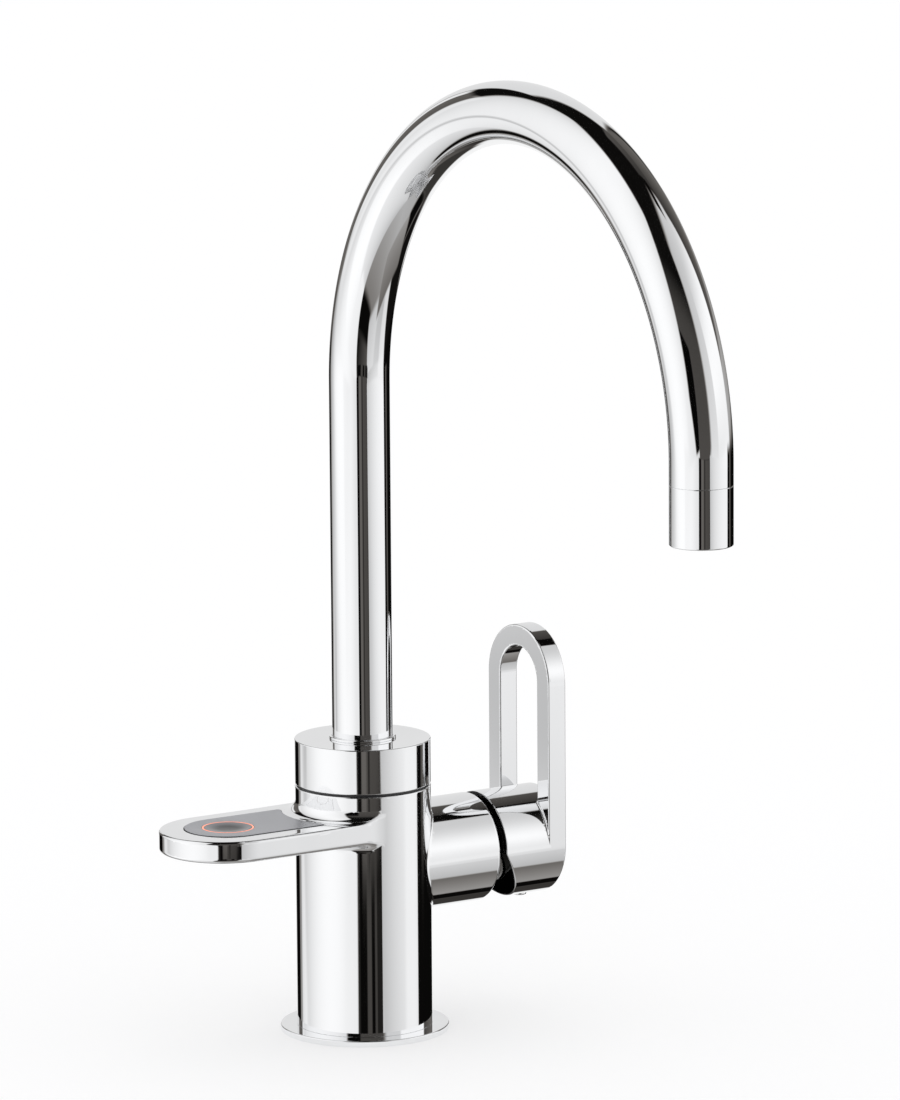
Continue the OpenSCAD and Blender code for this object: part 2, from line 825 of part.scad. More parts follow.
module aerator_insert() {
    color("white") difference() {
        ring_z(insert_z, seal_z, insert_d, nozzle_d + 2 * seat_gap, 0, outlet_y);
        for (i = [0:jets - 1]) translate([0, outlet_y, insert_z - eps])
            rotate(i * 360 / jets) translate([jet_r, 0, 0]) cylinder(h = insert_h + 2 * eps, d = jet_d);
    }
}

module aerator_seal() {
    color("black") ring_z(seal_z, bush_z, insert_d, insert_d - 2 * bush_wall, 0, outlet_y);
}

module filtered_nozzle() {
    color("goldenrod") translate([0, outlet_y, mouth_z]) difference() {
        cylinder(h = seal_z - mouth_z + seal_h, d = nozzle_d);
        translate([0, 0, -eps]) cylinder(h = insert_h + seal_h + 4 * eps, d = nozzle_bore_d);
        translate([0, 0, inner_tube_end - mouth_z])
            cylinder(h = insert_h + seal_h, d = inner_tube_d + 2 * seat_gap);
    }
}

base_flange();
base_gasket();
tap_body();
inlet_block();
hot_check_valve();
cold_check_valve();
filtered_tube_seal();
cable_grommet();
swivel_washer();
spout_retaining_screw();
control_panel();
panel_gasket();
led_ring();
control_board();
tact_switch();
board_screws();
touch_button();
cartridge_seals();
cartridge_base();
cartridge_housing();
fixed_ceramic_disc();
cartridge_nut();
dome_cover();
spout_tube();
spout_collar();
spout_spigot();
spout_o_rings();
spout_foot_ring();
inner_water_tube();
outlet_bush();
nozzle_sleeve();
aerator_insert();
aerator_seal();
filtered_nozzle();
spindle_guide();
pivot_pin();
lever_handle();
cartridge_stem();
lever_grub_screw();
screw_plug();
moving_ceramic_disc();
disc_carrier();
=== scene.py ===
import math

import bpy
import numpy as np
from mathutils import Matrix, Vector


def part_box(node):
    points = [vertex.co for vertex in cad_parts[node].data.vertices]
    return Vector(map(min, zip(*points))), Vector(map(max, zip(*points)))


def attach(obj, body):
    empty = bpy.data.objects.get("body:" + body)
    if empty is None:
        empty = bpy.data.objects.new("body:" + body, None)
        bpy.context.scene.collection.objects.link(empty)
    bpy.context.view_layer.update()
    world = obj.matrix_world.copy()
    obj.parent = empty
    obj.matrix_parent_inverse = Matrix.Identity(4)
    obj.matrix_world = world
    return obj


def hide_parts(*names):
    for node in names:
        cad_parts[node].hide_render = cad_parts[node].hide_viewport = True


bl_info = {
    "name": "Filter kitchen mixer tap",
    "version": (1, 0, 0),
    "blender": (4, 5, 0),
    "location": "View3D > Sidebar > Tap",
    "description": "Builds the tap's outer pieces, its finishes and the studio round the packed frame",
    "category": "Add Mesh",
}

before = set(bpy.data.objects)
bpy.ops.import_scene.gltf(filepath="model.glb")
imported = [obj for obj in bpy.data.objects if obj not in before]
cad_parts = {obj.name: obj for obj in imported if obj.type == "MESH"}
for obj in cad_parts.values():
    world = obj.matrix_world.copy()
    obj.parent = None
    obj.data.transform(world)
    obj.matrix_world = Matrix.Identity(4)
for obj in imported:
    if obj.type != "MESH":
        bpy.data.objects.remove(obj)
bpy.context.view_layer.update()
MM = 0.001

# Sizes

BARREL_Z = 62 * MM  # height of the side barrel's axis
CAP_CUT = math.tan(math.radians(27.3))  # slope of the cap's rim below that axis
SPOT_X = -57.5 * MM  # the thumb spot's axis
BEND = math.radians(11)  # most that a cast piece's surface turns along one edge of its mesh
SHORTEST = 0.11 * MM  # edges of such a mesh that aren't split any more
FAR, FAR_ROUGHNESS = 150 * MM, 0.6  # beyond this distance mirrors see polished metal this rough


def top(node):
    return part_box(node)[1]


def bottom(node):
    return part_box(node)[0]


def length(name, description, millimetres):
    return bpy.props.FloatProperty(
        name=name, description=description, default=millimetres * MM, min=0, precision=5, unit="LENGTH")


def share(name, description, default, most=1):
    return bpy.props.FloatProperty(name=name, description=description, default=default, min=0, max=most)


def tint(name, description, default):
    return bpy.props.FloatVectorProperty(
        name=name, description=description, default=default, size=3, min=0, max=1, subtype="COLOR")


class TapSizes(bpy.types.PropertyGroup):
    """Sizes of the outer pieces that the frame doesn't give by its boxes"""
    column_edge: length("Column edge", "Radius of the body's top edge", 0.4)
    arm_top_edge: length("Arm top edge", "Radius of the touch arm's upper edge", 1.1)
    arm_low_edge: length("Arm lower edge", "Radius of the touch arm's lower edge", 1.5)
    arm_fillet: length("Fillet above the arm", "Radius between the arm's top and the column", 4)
    arm_under_fillet: length("Fillet below the arm", "Radius between the arm's underside and the column", 3)
    arm_flow: length("Arm side flow", "Radius with which the arm's sides run into the column", 24)
    barrel_edge: length("Barrel edge", "Radius of the side barrel's end edge", 1.3)
    barrel_fillet: length("Barrel fillet", "Radius between the side barrel and the column", 0.7)
    lever_edge: length("Lever edge", "Radius of the lever's edges", 0.55)
    cap_rim_edge: length("Cap rim", "Radius of the edge of the cap's open rim", 0.5)
    lever_fillet: length("Lever fillet", "Radius between the lever's cap and its loop", 0.8)
    panel_corner: length("Panel corner", "Radius of the control panel's corners at the column", 1.6)
    panel_edge: length("Panel edge", "Radius of the control panel's top edge", 0.16)
    panel_rise: length("Panel rise", "Height of the control panel's face above the arm's face", 0.3)
    panel_gap: length("Panel gap", "Dark gap round the control panel", 0.28)
    mesh_step: length("Mesh step", "Distance of the points of the body's mesh", 1.05)
    broken_edge: length("Broken edge", "Radius of a turned piece's small edges", 0.12)


class TapFinishes(bpy.types.PropertyGroup):
    """Colours and gloss of the tap's finishes"""
    chrome: tint("Chrome", "Colour of the chrome plate", (0.93, 0.935, 0.945))
    chrome_gloss: share("Chrome roughness", "Roughness of clean chrome", 0.025)
    panel: tint("Panel", "Colour of the control panel", (0.4, 0.405, 0.43))
    button: tint("Thumb spot", "Colour of the rim of the dished thumb spot", (0.25, 0.254, 0.27))
    glow: tint("Glow", "Colour of the lit ring", (1.0, 0.16, 0.06))
    glow_strength: share("Glow strength", "Strength of the lit ring", 0.9, 20)
    brass: tint("Brass", "Colour of machined brass", (0.78, 0.62, 0.33))
    rubber: tint("Rubber", "Colour of the seals", (0.035, 0.035, 0.038))


class TapStudio(bpy.types.PropertyGroup):
    """Camera and floor of the studio"""
    lens: bpy.props.FloatProperty(
        name="Lens", description="Focal length on a 36 mm sensor", default=256.21, min=1)
    floor_size: length("Floor", "Side of the square floor", 9000)


# Signed fields: a field gives the distance to a solid at points x, y, z, below zero inside it


def meet(a, b, edge):
    """Overlap of two solids, its edge rounded"""
    corner = np.hypot(np.maximum(a + edge, 0), np.maximum(b + edge, 0))
    return np.minimum(-edge, np.maximum(a, b)) + corner


def join(a, b, fillet):
    """Union of two solids with a fillet between them"""
    return -meet(-a, -b, fillet)


def slab(value, low, high):
    return np.maximum(low - value, value - high)


def ease(value, start, end):
    t = np.clip((value - start) / (end - start), 0, 1)
    return t * t * (3 - 2 * t)


def upright(x, y, px, py, radius):
    return np.hypot(x - px, y - py) - radius


def bore(at, axis, first, second, radius, start, end):
    """A round bore along an axis, at a place across it, from start to end, all in millimetres"""
    along = "XYZ".index(axis)
    across = [at[k] for k in range(3) if k != along]
    wall = upright(*across, first * MM, second * MM, radius * MM)
    return np.maximum(wall, slab(at[along], start * MM, end * MM))


def slope(field, points, step=0.002 * MM):
    grad = np.empty_like(points)
    for axis in range(3):
        ahead, back = points.copy(), points.copy()
        ahead[:, axis] += step
        back[:, axis] -= step
        grad[:, axis] = (field(*ahead.T) - field(*back.T)) / (2 * step)
    return grad


def settle(field, points, limit, rounds=4):
    """Moves points onto the field's surface"""
    for _ in range(rounds):
        grad = slope(field, points)
        square = np.maximum((grad ** 2).sum(1), 0.05)
        move = (field(*points.T) / square)[:, None] * grad
        size = np.linalg.norm(move, axis=1, keepdims=True)
        points = points - move * np.minimum(1, limit / np.maximum(size, 1e-12))
    return points


def unit(vectors):
    return vectors / np.maximum(np.linalg.norm(vectors, axis=1, keepdims=True), 1e-12)


def net(field, lines):
    """Quads of a surface net of the field on the grid lines, one array of values for each axis"""
    grids = np.meshgrid(*lines, indexing="ij")
    values = field(*grids)
    shape = np.array(values.shape) - 1
    total, count, quads = np.zeros((shape.prod(), 3)), np.zeros(shape.prod()), []
    for axis in range(3):
        crossed = np.array(np.nonzero(np.diff(values < 0, axis=axis)))
        there = crossed.copy()
        there[axis] += 1
        a, b = values[tuple(crossed)], values[tuple(there)]
        place, end = (np.array([grid[tuple(index)] for grid in grids]) for index in (crossed, there))
        place = place + (end - place) * (a / (a - b))
        ring = []
        for first, second in ((-1, -1), (0, -1), (0, 0), (-1, 0)):
            index = crossed.copy()
            index[(axis + 1) % 3] += first
            index[(axis + 2) % 3] += second
            ring.append(np.ravel_multi_index(index, shape))
            np.add.at(total, ring[-1], place.T)
            np.add.at(count, ring[-1], 1)
        ring = np.array(ring).T
        flip = a > 0
        ring[flip] = ring[flip][:, ::-1]
        quads.append(ring)
    used, quads = np.unique(np.concatenate(quads), return_inverse=True)
    return total[used] / count[used][:, None], quads.reshape(-1, 4)


# A triangle's new corners for each number of its cut edges: 0 to 2 are its corners, 3 to 5 its edges' middles
SPLITS = (
    ((0, 1, 2),),
    ((0, 3, 2), (3, 1, 2)),
    ((4, 2, 5), (0, 1, 4), (0, 4, 5)),
    ((0, 3, 5), (3, 1, 4), (5, 4, 2), (3, 4, 5)))


def split_bends(field, points, faces, rounds=5):
    """Splits the triangles' edges along which the surface bends, with the new points on the surface"""
    normals = unit(slope(field, points))
    for _ in range(rounds):
        pairs = np.sort(faces[:, [[0, 1], [1, 2], [2, 0]]].reshape(-1, 2), axis=1)
        edges, which = np.unique(pairs, axis=0, return_inverse=True)
        turn = (normals[edges[:, 0]] * normals[edges[:, 1]]).sum(1)
        span = np.linalg.norm(points[edges[:, 0]] - points[edges[:, 1]], axis=1)
        marked = (turn < math.cos(BEND)) & (span > SHORTEST)
        if not marked.any():
            break
        middle = settle(field, points[edges[marked]].mean(1), SHORTEST * 4)
        new = np.full(len(edges), -1)
        new[marked] = len(points) + np.arange(marked.sum())
        points = np.concatenate([points, middle])
        normals = np.concatenate([normals, unit(slope(field, middle))])
        cut = new[which.reshape(-1, 3)]
        parts = []
        for number, corners in enumerate(SPLITS):
            pick = (cut >= 0).sum(1) == number
            first = np.argmin(cut[pick], axis=1) if number == 2 else np.argmax(cut[pick] >= 0, axis=1)
            order = (first[:, None] + np.arange(3)) % 3
            both = np.hstack([np.take_along_axis(part[pick], order, 1) for part in (faces, cut)])
            parts += [both[:, list(corner)] for corner in corners]
        faces = np.concatenate(parts)
    return points, faces, normals


def linked(name, data):
    """A new object of the data, in the scene"""
    obj = bpy.data.objects.new(name, data)
    bpy.context.scene.collection.objects.link(obj)
    return obj


def make_object(name, points, faces, normals=None):
    """A smooth object of the points and faces, with its given normals"""
    mesh = bpy.data.meshes.new(name)
    mesh.from_pydata(points.tolist(), [], faces.tolist() if hasattr(faces, "tolist") else faces)
    mesh.shade_smooth()
    if normals is not None:
        mesh.normals_split_custom_set_from_vertices(normals.tolist())
    return linked(name, mesh)


def grid_line(low, high, step, extra=()):
    """Values from low to high a step apart, with extra ones for thin walls"""
    line = np.arange(low - 1.5 * step, high + 1.5 * step, step)
    for value in extra:
        line = np.append(line[np.abs(line - value) > 0.35 * step], value)
    return np.sort(line)


def cast(name, field, low, high, step, extra=((), (), ())):
    """An object of a field's surface inside the box from low to high"""
    points, quads = net(field, [grid_line(low[k], high[k], step, extra[k]) for k in range(3)])
    points = settle(field, points, step)
    first = np.linalg.norm(points[quads[:, 0]] - points[quads[:, 2]], axis=1)
    second = np.linalg.norm(points[quads[:, 1]] - points[quads[:, 3]], axis=1)
    quads = np.where((first <= second)[:, None], quads, np.roll(quads, 1, axis=1))
    faces = np.concatenate([quads[:, [0, 1, 2]], quads[:, [0, 2, 3]]])
    return make_object(name, *split_bends(field, points, faces))


# Turned pieces


def rounded(corners):
    """Points and normals of an outline of (radius, height, edge) corners, each rounded by its edge"""
    xy = np.array([c[:2] for c in corners], float)
    area = sum(xy[i - 1][0] * xy[i][1] - xy[i][0] * xy[i - 1][1] for i in range(len(xy)))
    if area < 0:
        xy, corners = xy[::-1], corners[::-1]
    widest = math.radians(14)  # most that two neighbouring points' normals differ
    points, normals = [], []
    for i, (radius, _, edge) in enumerate(corners):
        here = xy[i]
        before, after = here - xy[i - 1], xy[(i + 1) % len(xy)] - here
        reach = min(np.linalg.norm(before), np.linalg.norm(after)) / 2
        before, after = before / np.linalg.norm(before), after / np.linalg.norm(after)
        turn = math.atan2(before[0] * after[1] - before[1] * after[0], before @ after)
        tangent = min(abs(math.tan(turn / 2)) * edge, reach * 0.999)
        if edge == 0 or tangent < 1e-7:
            side = after if radius > 1e-9 and xy[(i + 1) % len(xy)][0] > 1e-9 else before
            points.append(here)
            normals.append((side[1], -side[0]))
            continue
        size = tangent / abs(math.tan(turn / 2))
        inward = np.array([-before[1], before[0]]) * math.copysign(1, turn)
        centre = here - before * tangent + inward * size
        start = math.atan2(*(here - before * tangent - centre)[::-1])
        steps = max(2, math.ceil(abs(turn) / widest))
        for k in range(steps + 1):
            angle = start + turn * k / steps
            out = np.array([math.cos(angle), math.sin(angle)])
            points.append(centre + out * size)
            normals.append(out * math.copysign(1, turn))
    return np.array(points), np.array(normals)


def bow(height, radius, start, end, steps):
    """Corners of an arc about (0, height) on the axis, from one angle to another in degrees"""
    half = math.radians((end - start) / steps) / 2
    corners = []
    for k in range(steps):
        angle = math.radians(start) + half * (2 * k + 1)
        far = radius / math.cos(half)
        corners.append((far * math.cos(angle), height + far * math.sin(angle), radius))
    return corners


def pipe(inner, outer, low, high, *edges):
    """Corners of a plain ring's outline, its inner lower one first"""
    places = (inner, low), (outer, low), (outer, high), (inner, high)
    return [(*place, edge) for place, edge in zip(places, edges)]


def turned(name, corners, centre=(0, 0, 0), along="Z", steps=160):
    """A piece turned about an axis through centre, from its outline in radius and height"""
    outline, slopes = rounded(corners)
    axes = np.eye(3) if along == "Z" else np.array([(0, 0, 1), (0, -1, 0), (1, 0, 0)])
    angles = np.arange(steps) * 2 * math.pi / steps
    ring = np.array([np.cos(angles), np.sin(angles)]).T
    points, normals, rows = [], [], []
    for (radius, height), (out, up) in zip(outline, slopes):
        if radius < 1e-8:
            rows.append([len(points)] * steps)
            points.append((0, 0, height))
            normals.append((0, 0, math.copysign(1, up)))
            continue
        rows.append(list(range(len(points), len(points) + steps)))
        points += [(radius * c, radius * s, height) for c, s in ring]
        normals += [(out * c, out * s, up) for c, s in ring]
    faces = []
    for i in range(len(rows)):
        a, b = rows[i - 1], rows[i]
        if a[0] == a[1] and b[0] == b[1]:
            continue
        for k in range(steps):
            n = (k + 1) % steps
            quad = [a[k], a[n], b[n], b[k]]
            faces.append([v for j, v in enumerate(quad) if v != quad[j - 1]])
    points = np.array(points) @ axes + np.array(centre)
    return make_object(name, points, faces, unit(np.array(normals) @ axes))


# Materials


class Value:
    """A node's output, whose sums, products and comparisons become Math nodes in its tree"""

    def __init__(self, tree, socket):
        self.tree, self.socket = tree, socket

    def __add__(self, other):
        return self.tree.math("ADD", self, other)

    def __sub__(self, other):
        return self.tree.math("SUBTRACT", self, other)

    def __rsub__(self, other):
        return self.tree.math("SUBTRACT", other, self)

    def __mul__(self, other):
        return self.tree.math("MULTIPLY", self, other)

    def __truediv__(self, other):
        return self.tree.math("DIVIDE", self, other)

    def __gt__(self, other):
        return self.tree.math("GREATER_THAN", self, other)

    def __lt__(self, other):
        return self.tree.math("LESS_THAN", self, other)


class Tree:
    """Short calls for building a node tree"""

    def __init__(self, tree):
        self.tree = tree

    def node(self, kind, inputs=None, **settings):
        node = self.tree.nodes.new(kind)
        for key, value in settings.items():
            setattr(node, key, value)
        self.fill(node.inputs, inputs or {})
        return node

    def fill(self, sockets, values):
        for key, value in values.items():
            self.put(sockets[key], value)

    def put(self, socket, value):
        """Links a value, a socket or a node's first output to the socket, or sets a plain constant"""
        if isinstance(value, bpy.types.Node):
            value = value.outputs[0]
        if isinstance(value, Value):
            value = value.socket
        if isinstance(value, bpy.types.NodeSocket):
            self.tree.links.new(value, socket)
        else:
            socket.default_value = value

    def value(self, kind, inputs=None, **settings):
        """The first output of a new node"""
        return Value(self, self.node(kind, inputs, **settings).outputs[0])

    def math(self, operation, *values, clamp=False):
        return self.value("ShaderNodeMath", dict(enumerate(values)), operation=operation, use_clamp=clamp)

    def blend(self, share, first, second):
        """The colour between two colours"""
        inputs = {0: share, 6: first, 7: second}
        return Value(self, self.node("ShaderNodeMix", inputs, data_type="RGBA").outputs[2])

    def outputs(self, node):
        return {socket.name: Value(self, socket) for socket in node.outputs}

    def path(self):
        return self.outputs(self.node("ShaderNodeLightPath"))

    def point(self):
        """The point in the piece's own coordinates"""
        return self.outputs(self.node("ShaderNodeTexCoord"))["Object"]

    def coordinates(self):
        return self.outputs(self.node("ShaderNodeSeparateXYZ", {"Vector": self.point()}))


SKIN = {"Roughness": "NodeSocketFloat", "Shade": "NodeSocketFloat", "Normal": "NodeSocketVector"}


def shader_group(name, inputs, outputs):
    """A shader node group with numbers as its inputs, given with their first values"""
    group = bpy.data.node_groups.new(name, "ShaderNodeTree")
    for title, first in inputs.items():
        socket = group.interface.new_socket(title, in_out="INPUT", socket_type="NodeSocketFloat")
        socket.default_value = first
    for title, kind in outputs.items():
        group.interface.new_socket(title, in_out="OUTPUT", socket_type=kind)
    t = Tree(group)
    return group, t, t.outputs(t.node("NodeGroupInput")), t.node("NodeGroupOutput").inputs


def handling_group():
    """Wipe marks, faint smears and a slight unevenness of a polished or moulded skin"""
    if "Handling marks" in bpy.data.node_groups:
        return bpy.data.node_groups["Handling marks"]
    group, t, v, sink = shader_group("Handling marks", {
        "Base roughness": 0.03, "Smear roughness": 0.07, "Smear scale": 45, "Wave scale": 60,
        "Wave height": 0.00001, "Grain scale": 2500, "Grain height": 0}, SKIN)
    point = t.point()
    stretched = t.value("ShaderNodeMapping", {
        "Vector": point, "Rotation": (0.5, 0.3, 0.9), "Scale": (1, 1, 0.25)})
    smear = t.value("ShaderNodeTexNoise", {"Vector": stretched, "Scale": v["Smear scale"], "Detail": 3})
    spots = t.value("ShaderNodeMapRange", {"Value": smear, "From Min": 0.48, "From Max": 0.75})
    wave = t.value("ShaderNodeTexNoise", {"Vector": point, "Scale": v["Wave scale"], "Detail": 0})
    grain = t.value("ShaderNodeTexNoise", {"Vector": point, "Scale": v["Grain scale"], "Detail": 2})
    low = t.value("ShaderNodeBump", {"Height": wave, "Distance": v["Wave height"]})
    fine = t.value("ShaderNodeBump", {"Height": grain, "Distance": v["Grain height"], "Normal": low})
    shade = t.value("ShaderNodeMapRange", {"Value": smear, "From Min": 0.3, "From Max": 0.8, "To Min": 0.96})
    roughness = v["Base roughness"] + spots * v["Smear roughness"]
    t.fill(sink, {"Roughness": roughness, "Shade": shade, "Normal": fine})
    return group


def lathe_group():
    """Fine rings that a cutting tool leaves on a turned face, with a slow change of tone"""
    if "Turning marks" in bpy.data.node_groups:
        return bpy.data.node_groups["Turning marks"]
    group, t, v, sink = shader_group("Turning marks", {
        "Ring scale": 900, "Ring height": 0.000004, "Base roughness": 0.22, "Ring roughness": 0.12}, SKIN)
    point = t.point()
    rings = t.outputs(t.node("ShaderNodeTexWave", {
        "Vector": point, "Scale": v["Ring scale"], "Distortion": 0.6, "Detail": 2},
        wave_type="BANDS", bands_direction="Z"))["Fac"]
    tone = t.value("ShaderNodeTexNoise", {"Vector": point, "Scale": 120, "Detail": 4})
    bump = t.value("ShaderNodeBump", {"Height": rings, "Distance": v["Ring height"]})
    shade = t.value("ShaderNodeMapRange", {"Value": tone, "From Min": 0.3, "From Max": 0.7, "To Min": 0.82})
    roughness = v["Base roughness"] + rings * v["Ring roughness"]
    t.fill(sink, {"Roughness": roughness, "Shade": shade, "Normal": bump})
    return group


def principled(material):
    return material.node_tree.nodes["Principled BSDF"].inputs


def finish_material(name, colour, metallic, group, values):
    """A Principled material whose marks come from a group"""
    if name in bpy.data.materials:
        return bpy.data.materials[name]
    material = bpy.data.materials.new(name)
    material.use_nodes = True
    t = Tree(material.node_tree)
    marks = t.node("ShaderNodeGroup", values, node_tree=group).outputs
    inputs = {0: 1.0, 6: (*colour, 1), 7: marks["Shade"]}
    shaded = t.node("ShaderNodeMix", inputs, data_type="RGBA", blend_type="MULTIPLY").outputs[2]
    t.fill(principled(material), {
        "Base Color": shaded, "Roughness": marks["Roughness"], "Normal": marks["Normal"],
        "Metallic": metallic})
    return material


def polished(name, colour, roughness):
    """Polished metal that far metal mirrors as an even tone, such as the base in the arch"""
    if name in bpy.data.materials:
        return bpy.data.materials[name]
    material = finish_material(name, colour, 1.0, handling_group(), {
        "Base roughness": roughness, "Smear roughness": 0.05, "Wave height": 0.000008})
    t, finish = Tree(material.node_tree), principled(material)["Roughness"]
    path = t.path()
    far = path["Is Glossy Ray"] * (path["Ray Length"] > FAR)
    t.put(finish, t.math("MAXIMUM", finish.links[0].from_socket, far * FAR_ROUGHNESS))
    return material


def moulded(name, colour, roughness=0.4, smear=0.12, grain=0.00002):
    return finish_material(name, colour, 0.0, handling_group(), {
        "Base roughness": roughness, "Smear roughness": smear, "Smear scale": 90, "Grain height": grain})


def frosted(name, colour, metallic, roughness, grain):
    return finish_material(name, colour, metallic, handling_group(), {
        "Base roughness": roughness, "Smear roughness": 0.1, "Grain scale": 3800, "Grain height": grain,
        "Wave height": 0.000002})


def machined(name, colour, roughness=0.2):
    return finish_material(name, colour, 1.0, lathe_group(), {"Base roughness": roughness})


def chrome():
    colours = bpy.context.scene.tap_finishes
    return polished("Chrome plate", colours.chrome, colours.chrome_gloss)


def shade_to(material, mask, shade):
    """Turns a material's colour to another one where the mask is 1"""
    t, colour = Tree(material.node_tree), principled(material)["Base Color"]
    t.put(colour, t.blend(mask, colour.links[0].from_socket, (*shade, 1)))


def paint_grazing_sheen(material):
    """Paints a piece in the chrome's colour for glossy rays, so that the chrome's reflections show it as
    bright metal: a painted sheen for the light it mirrors where it lies at a grazing angle
    """
    shade_to(material, Tree(material.node_tree).path()["Is Glossy Ray"], (0.93, 0.935, 0.945))


def chrome_with_painted_joint_shade():
    """Chrome plate whose faces inside the joint between the barrel and the lever's cap are painted near-black
    where seen directly: painted shade of the gap
    """
    name = "Chrome plate with painted joint shade"
    if name in bpy.data.materials:
        return bpy.data.materials[name]
    colours = bpy.context.scene.tap_finishes
    material = polished(name, colours.chrome, colours.chrome_gloss)
    t = Tree(material.node_tree)
    at = t.coordinates()
    drop = t.math("MAXIMUM", BARREL_Z - at["Z"], 0.0)
    ahead = at["X"] - bottom("lever_handle").x - drop * CAP_CUT
    behind_rim = ahead < 0.15 * MM
    past_barrel = at["X"] > top("tap_body").x - 0.05 * MM
    seen_directly = 1.0 - t.path()["Is Glossy Ray"]
    # painted shade: the joint's faces turn near-black for all but glossy rays
    shade_to(material, behind_rim * past_barrel * seen_directly, (0.012, 0.012, 0.013))
    return material


def place(obj, body, slot, material, *nodes):
    """Gives a finished piece its material and its body and hides the nodes it stands for; the slot is not
    used
    """
    obj.data.materials.clear()
    obj.data.materials.append(material)
    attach(obj, body)
    if nodes:
        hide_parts(*nodes)
    return obj


# Pieces


class TAP_OT_base_flange(bpy.types.Operator):
    """Makes the round flange on the worktop"""
    bl_idname = "tap.base_flange"
    bl_label = "Base flange"

    def execute(self, context):
        high = top("base_flange")
        edge = context.scene.tap_sizes.broken_edge
        foot, groove_in, groove_out, groove_top = 22.45 * MM, 26.05 * MM, 29.55 * MM, 1.3 * MM
        flange = turned("worktop_flange", [
            (foot, 0, edge), (groove_in, 0, edge), (groove_in, groove_top, edge),
            (groove_out, groove_top, edge), (groove_out, 0, edge),
            (high.x, 0, edge * 2), (high.x, high.z, 0.4 * MM), (foot, high.z, edge)],
            steps=220)
        place(flange, "tap_base", "chrome", chrome(), "base_flange")
        return {"FINISHED"}


def panel_plan(x, y, corner):
    """Outline of the control panel from above: a tongue that ends on an arc about the column"""
    half, foot = 15.75 * MM, 30 * MM
    tongue = np.hypot(x - np.clip(x, SPOT_X, 0), y) - half
    return meet(tongue, foot - np.hypot(x, y), corner)


def body_hollow(sizes, recess):
    """A field of the casting's water ways and well, the cartridge's chamber and the panel's recess"""
    well, block, outside = bottom("inlet_block").z / MM, top("inlet_block").z / MM, 120
    holes = [
        ("Z", 0, 0, 15.2, -outside, 14),  # mounting shank
        ("Z", 0, 0, 19.2, 14, well),  # room for the tails
        ("Z", 0, 0, 15.2, well - 1, block),  # inlet block
        ("Z", 0, 0, 13, 65, outside),  # spout's socket
        ("X", 0, 62, 17.6, 17, outside),  # cartridge's chamber
        ("X", 0, 70, 3.5, 10, 18),  # mixed water
        ("Z", 0, 0, 3.08, 47, 66),  # inner tube's seat
        ("Z", -7, 0, 3, block - 1, 52),  # filtered water, upward
        ("X", 0, 50, 3, -7, 0),  # filtered water, to the inner tube
        ("Z", -18.15, 0, 1.8, well - 1, 77),  # cable
        ("Z", -18.15, 0, 2.65, well - 1, well + 2),  # cable grommet
        ("Y", 0, 87.6, 2.55, 12, outside)]  # retaining screw
    for side in (-7.7, 7.7):  # hot and cold water, upward and to the chamber
        holes += [("Z", 5.5, side, 3.5, block - 1, 59.5), ("X", side, 56, 3.5, 5.5, 18)]
    pocket, ledge = 75.2 * MM, 1.6 * MM  # the board's pocket: its floor and the ledge round it

    def field(x, y, z):
        plan = panel_plan(x, y, sizes.panel_corner)
        panel = np.maximum(plan - sizes.panel_gap, recess - z)
        board = np.maximum(plan + ledge, pocket - z)
        return np.minimum.reduce([panel, board, *(bore((x, y, z), *hole) for hole in holes)])

    return field


class TAP_OT_body(bpy.types.Operator):
    """Makes the chrome casting with the column, the side barrel and the touch arm"""
    bl_idname = "tap.body"
    bl_label = "Body casting"

    def execute(self, context):
        s = context.scene.tap_sizes
        low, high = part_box("tap_body")
        radius, reach, barrel_radius = high.y, high.x, 20 * MM
        foot_radius, foot_top = 22.4 * MM, top("base_flange").z
        arm_half, arm_low, arm_top = 23.6 * MM, 73.7 * MM, 81.7 * MM
        root_edge, root_end, full_edge = 0.4 * MM, 27 * MM, 44 * MM
        margin, foot_edge, bore_edge = 2 * MM, 0.1 * MM, 0.18 * MM
        recess, flow = bottom("panel_gasket").z, s.arm_flow
        hollow = body_hollow(s, recess)
        flow_y = arm_half + flow
        flow_x = -math.sqrt((radius + flow) ** 2 - flow_y ** 2)

        def arm_plan(x, y):
            y = np.abs(y)
            tongue = np.hypot(x - np.clip(x, low.x + arm_half, 0), y) - arm_half
            flat = np.minimum(tongue, np.hypot(x, y) - radius)
            curve = flow - np.hypot(x - flow_x, y - flow_y)
            inside = (x > flow_x) & (y < flow_y) & (x * flow_y < y * flow_x)
            return np.where(inside, np.maximum(curve, flat - margin), flat)

        def field(x, y, z):
            around = np.hypot(x, y)
            column = meet(meet(around - radius, z - high.z, s.column_edge), foot_top - z, foot_edge)
            column = np.minimum(column, np.maximum(around - foot_radius, slab(z, 0, foot_top + MM)))
            upper = ease(z, arm_low + margin, arm_top - margin)
            fillet = s.arm_under_fillet + (s.arm_fillet - s.arm_under_fillet) * upper
            top_edge = root_edge + (s.arm_top_edge - root_edge) * ease(around, root_end, full_edge)
            edge = s.arm_low_edge + (top_edge - s.arm_low_edge) * upper
            web = join(around - radius, slab(z, arm_low, arm_top), fillet)
            web = np.maximum(web, slab(z, arm_low - fillet, arm_top + fillet))
            solid = np.minimum(column, meet(web, arm_plan(x, y), edge))
            barrel = meet(np.hypot(y, z - BARREL_Z) - barrel_radius, x - reach, s.barrel_edge)
            solid = join(solid, np.maximum(barrel, -x), s.barrel_fillet)
            return meet(solid, -hollow(x, y, z), bore_edge)

        thin = ((reach - 0.4 * MM,), (0,), (high.z - 0.42 * MM, recess + 0.4 * MM, arm_low + 0.7 * MM))
        body = cast("body_casting", field, low, high, s.mesh_step, thin)
        place(body, "tap_base", "chrome", chrome_with_painted_joint_shade(), "tap_body")
        return {"FINISHED"}


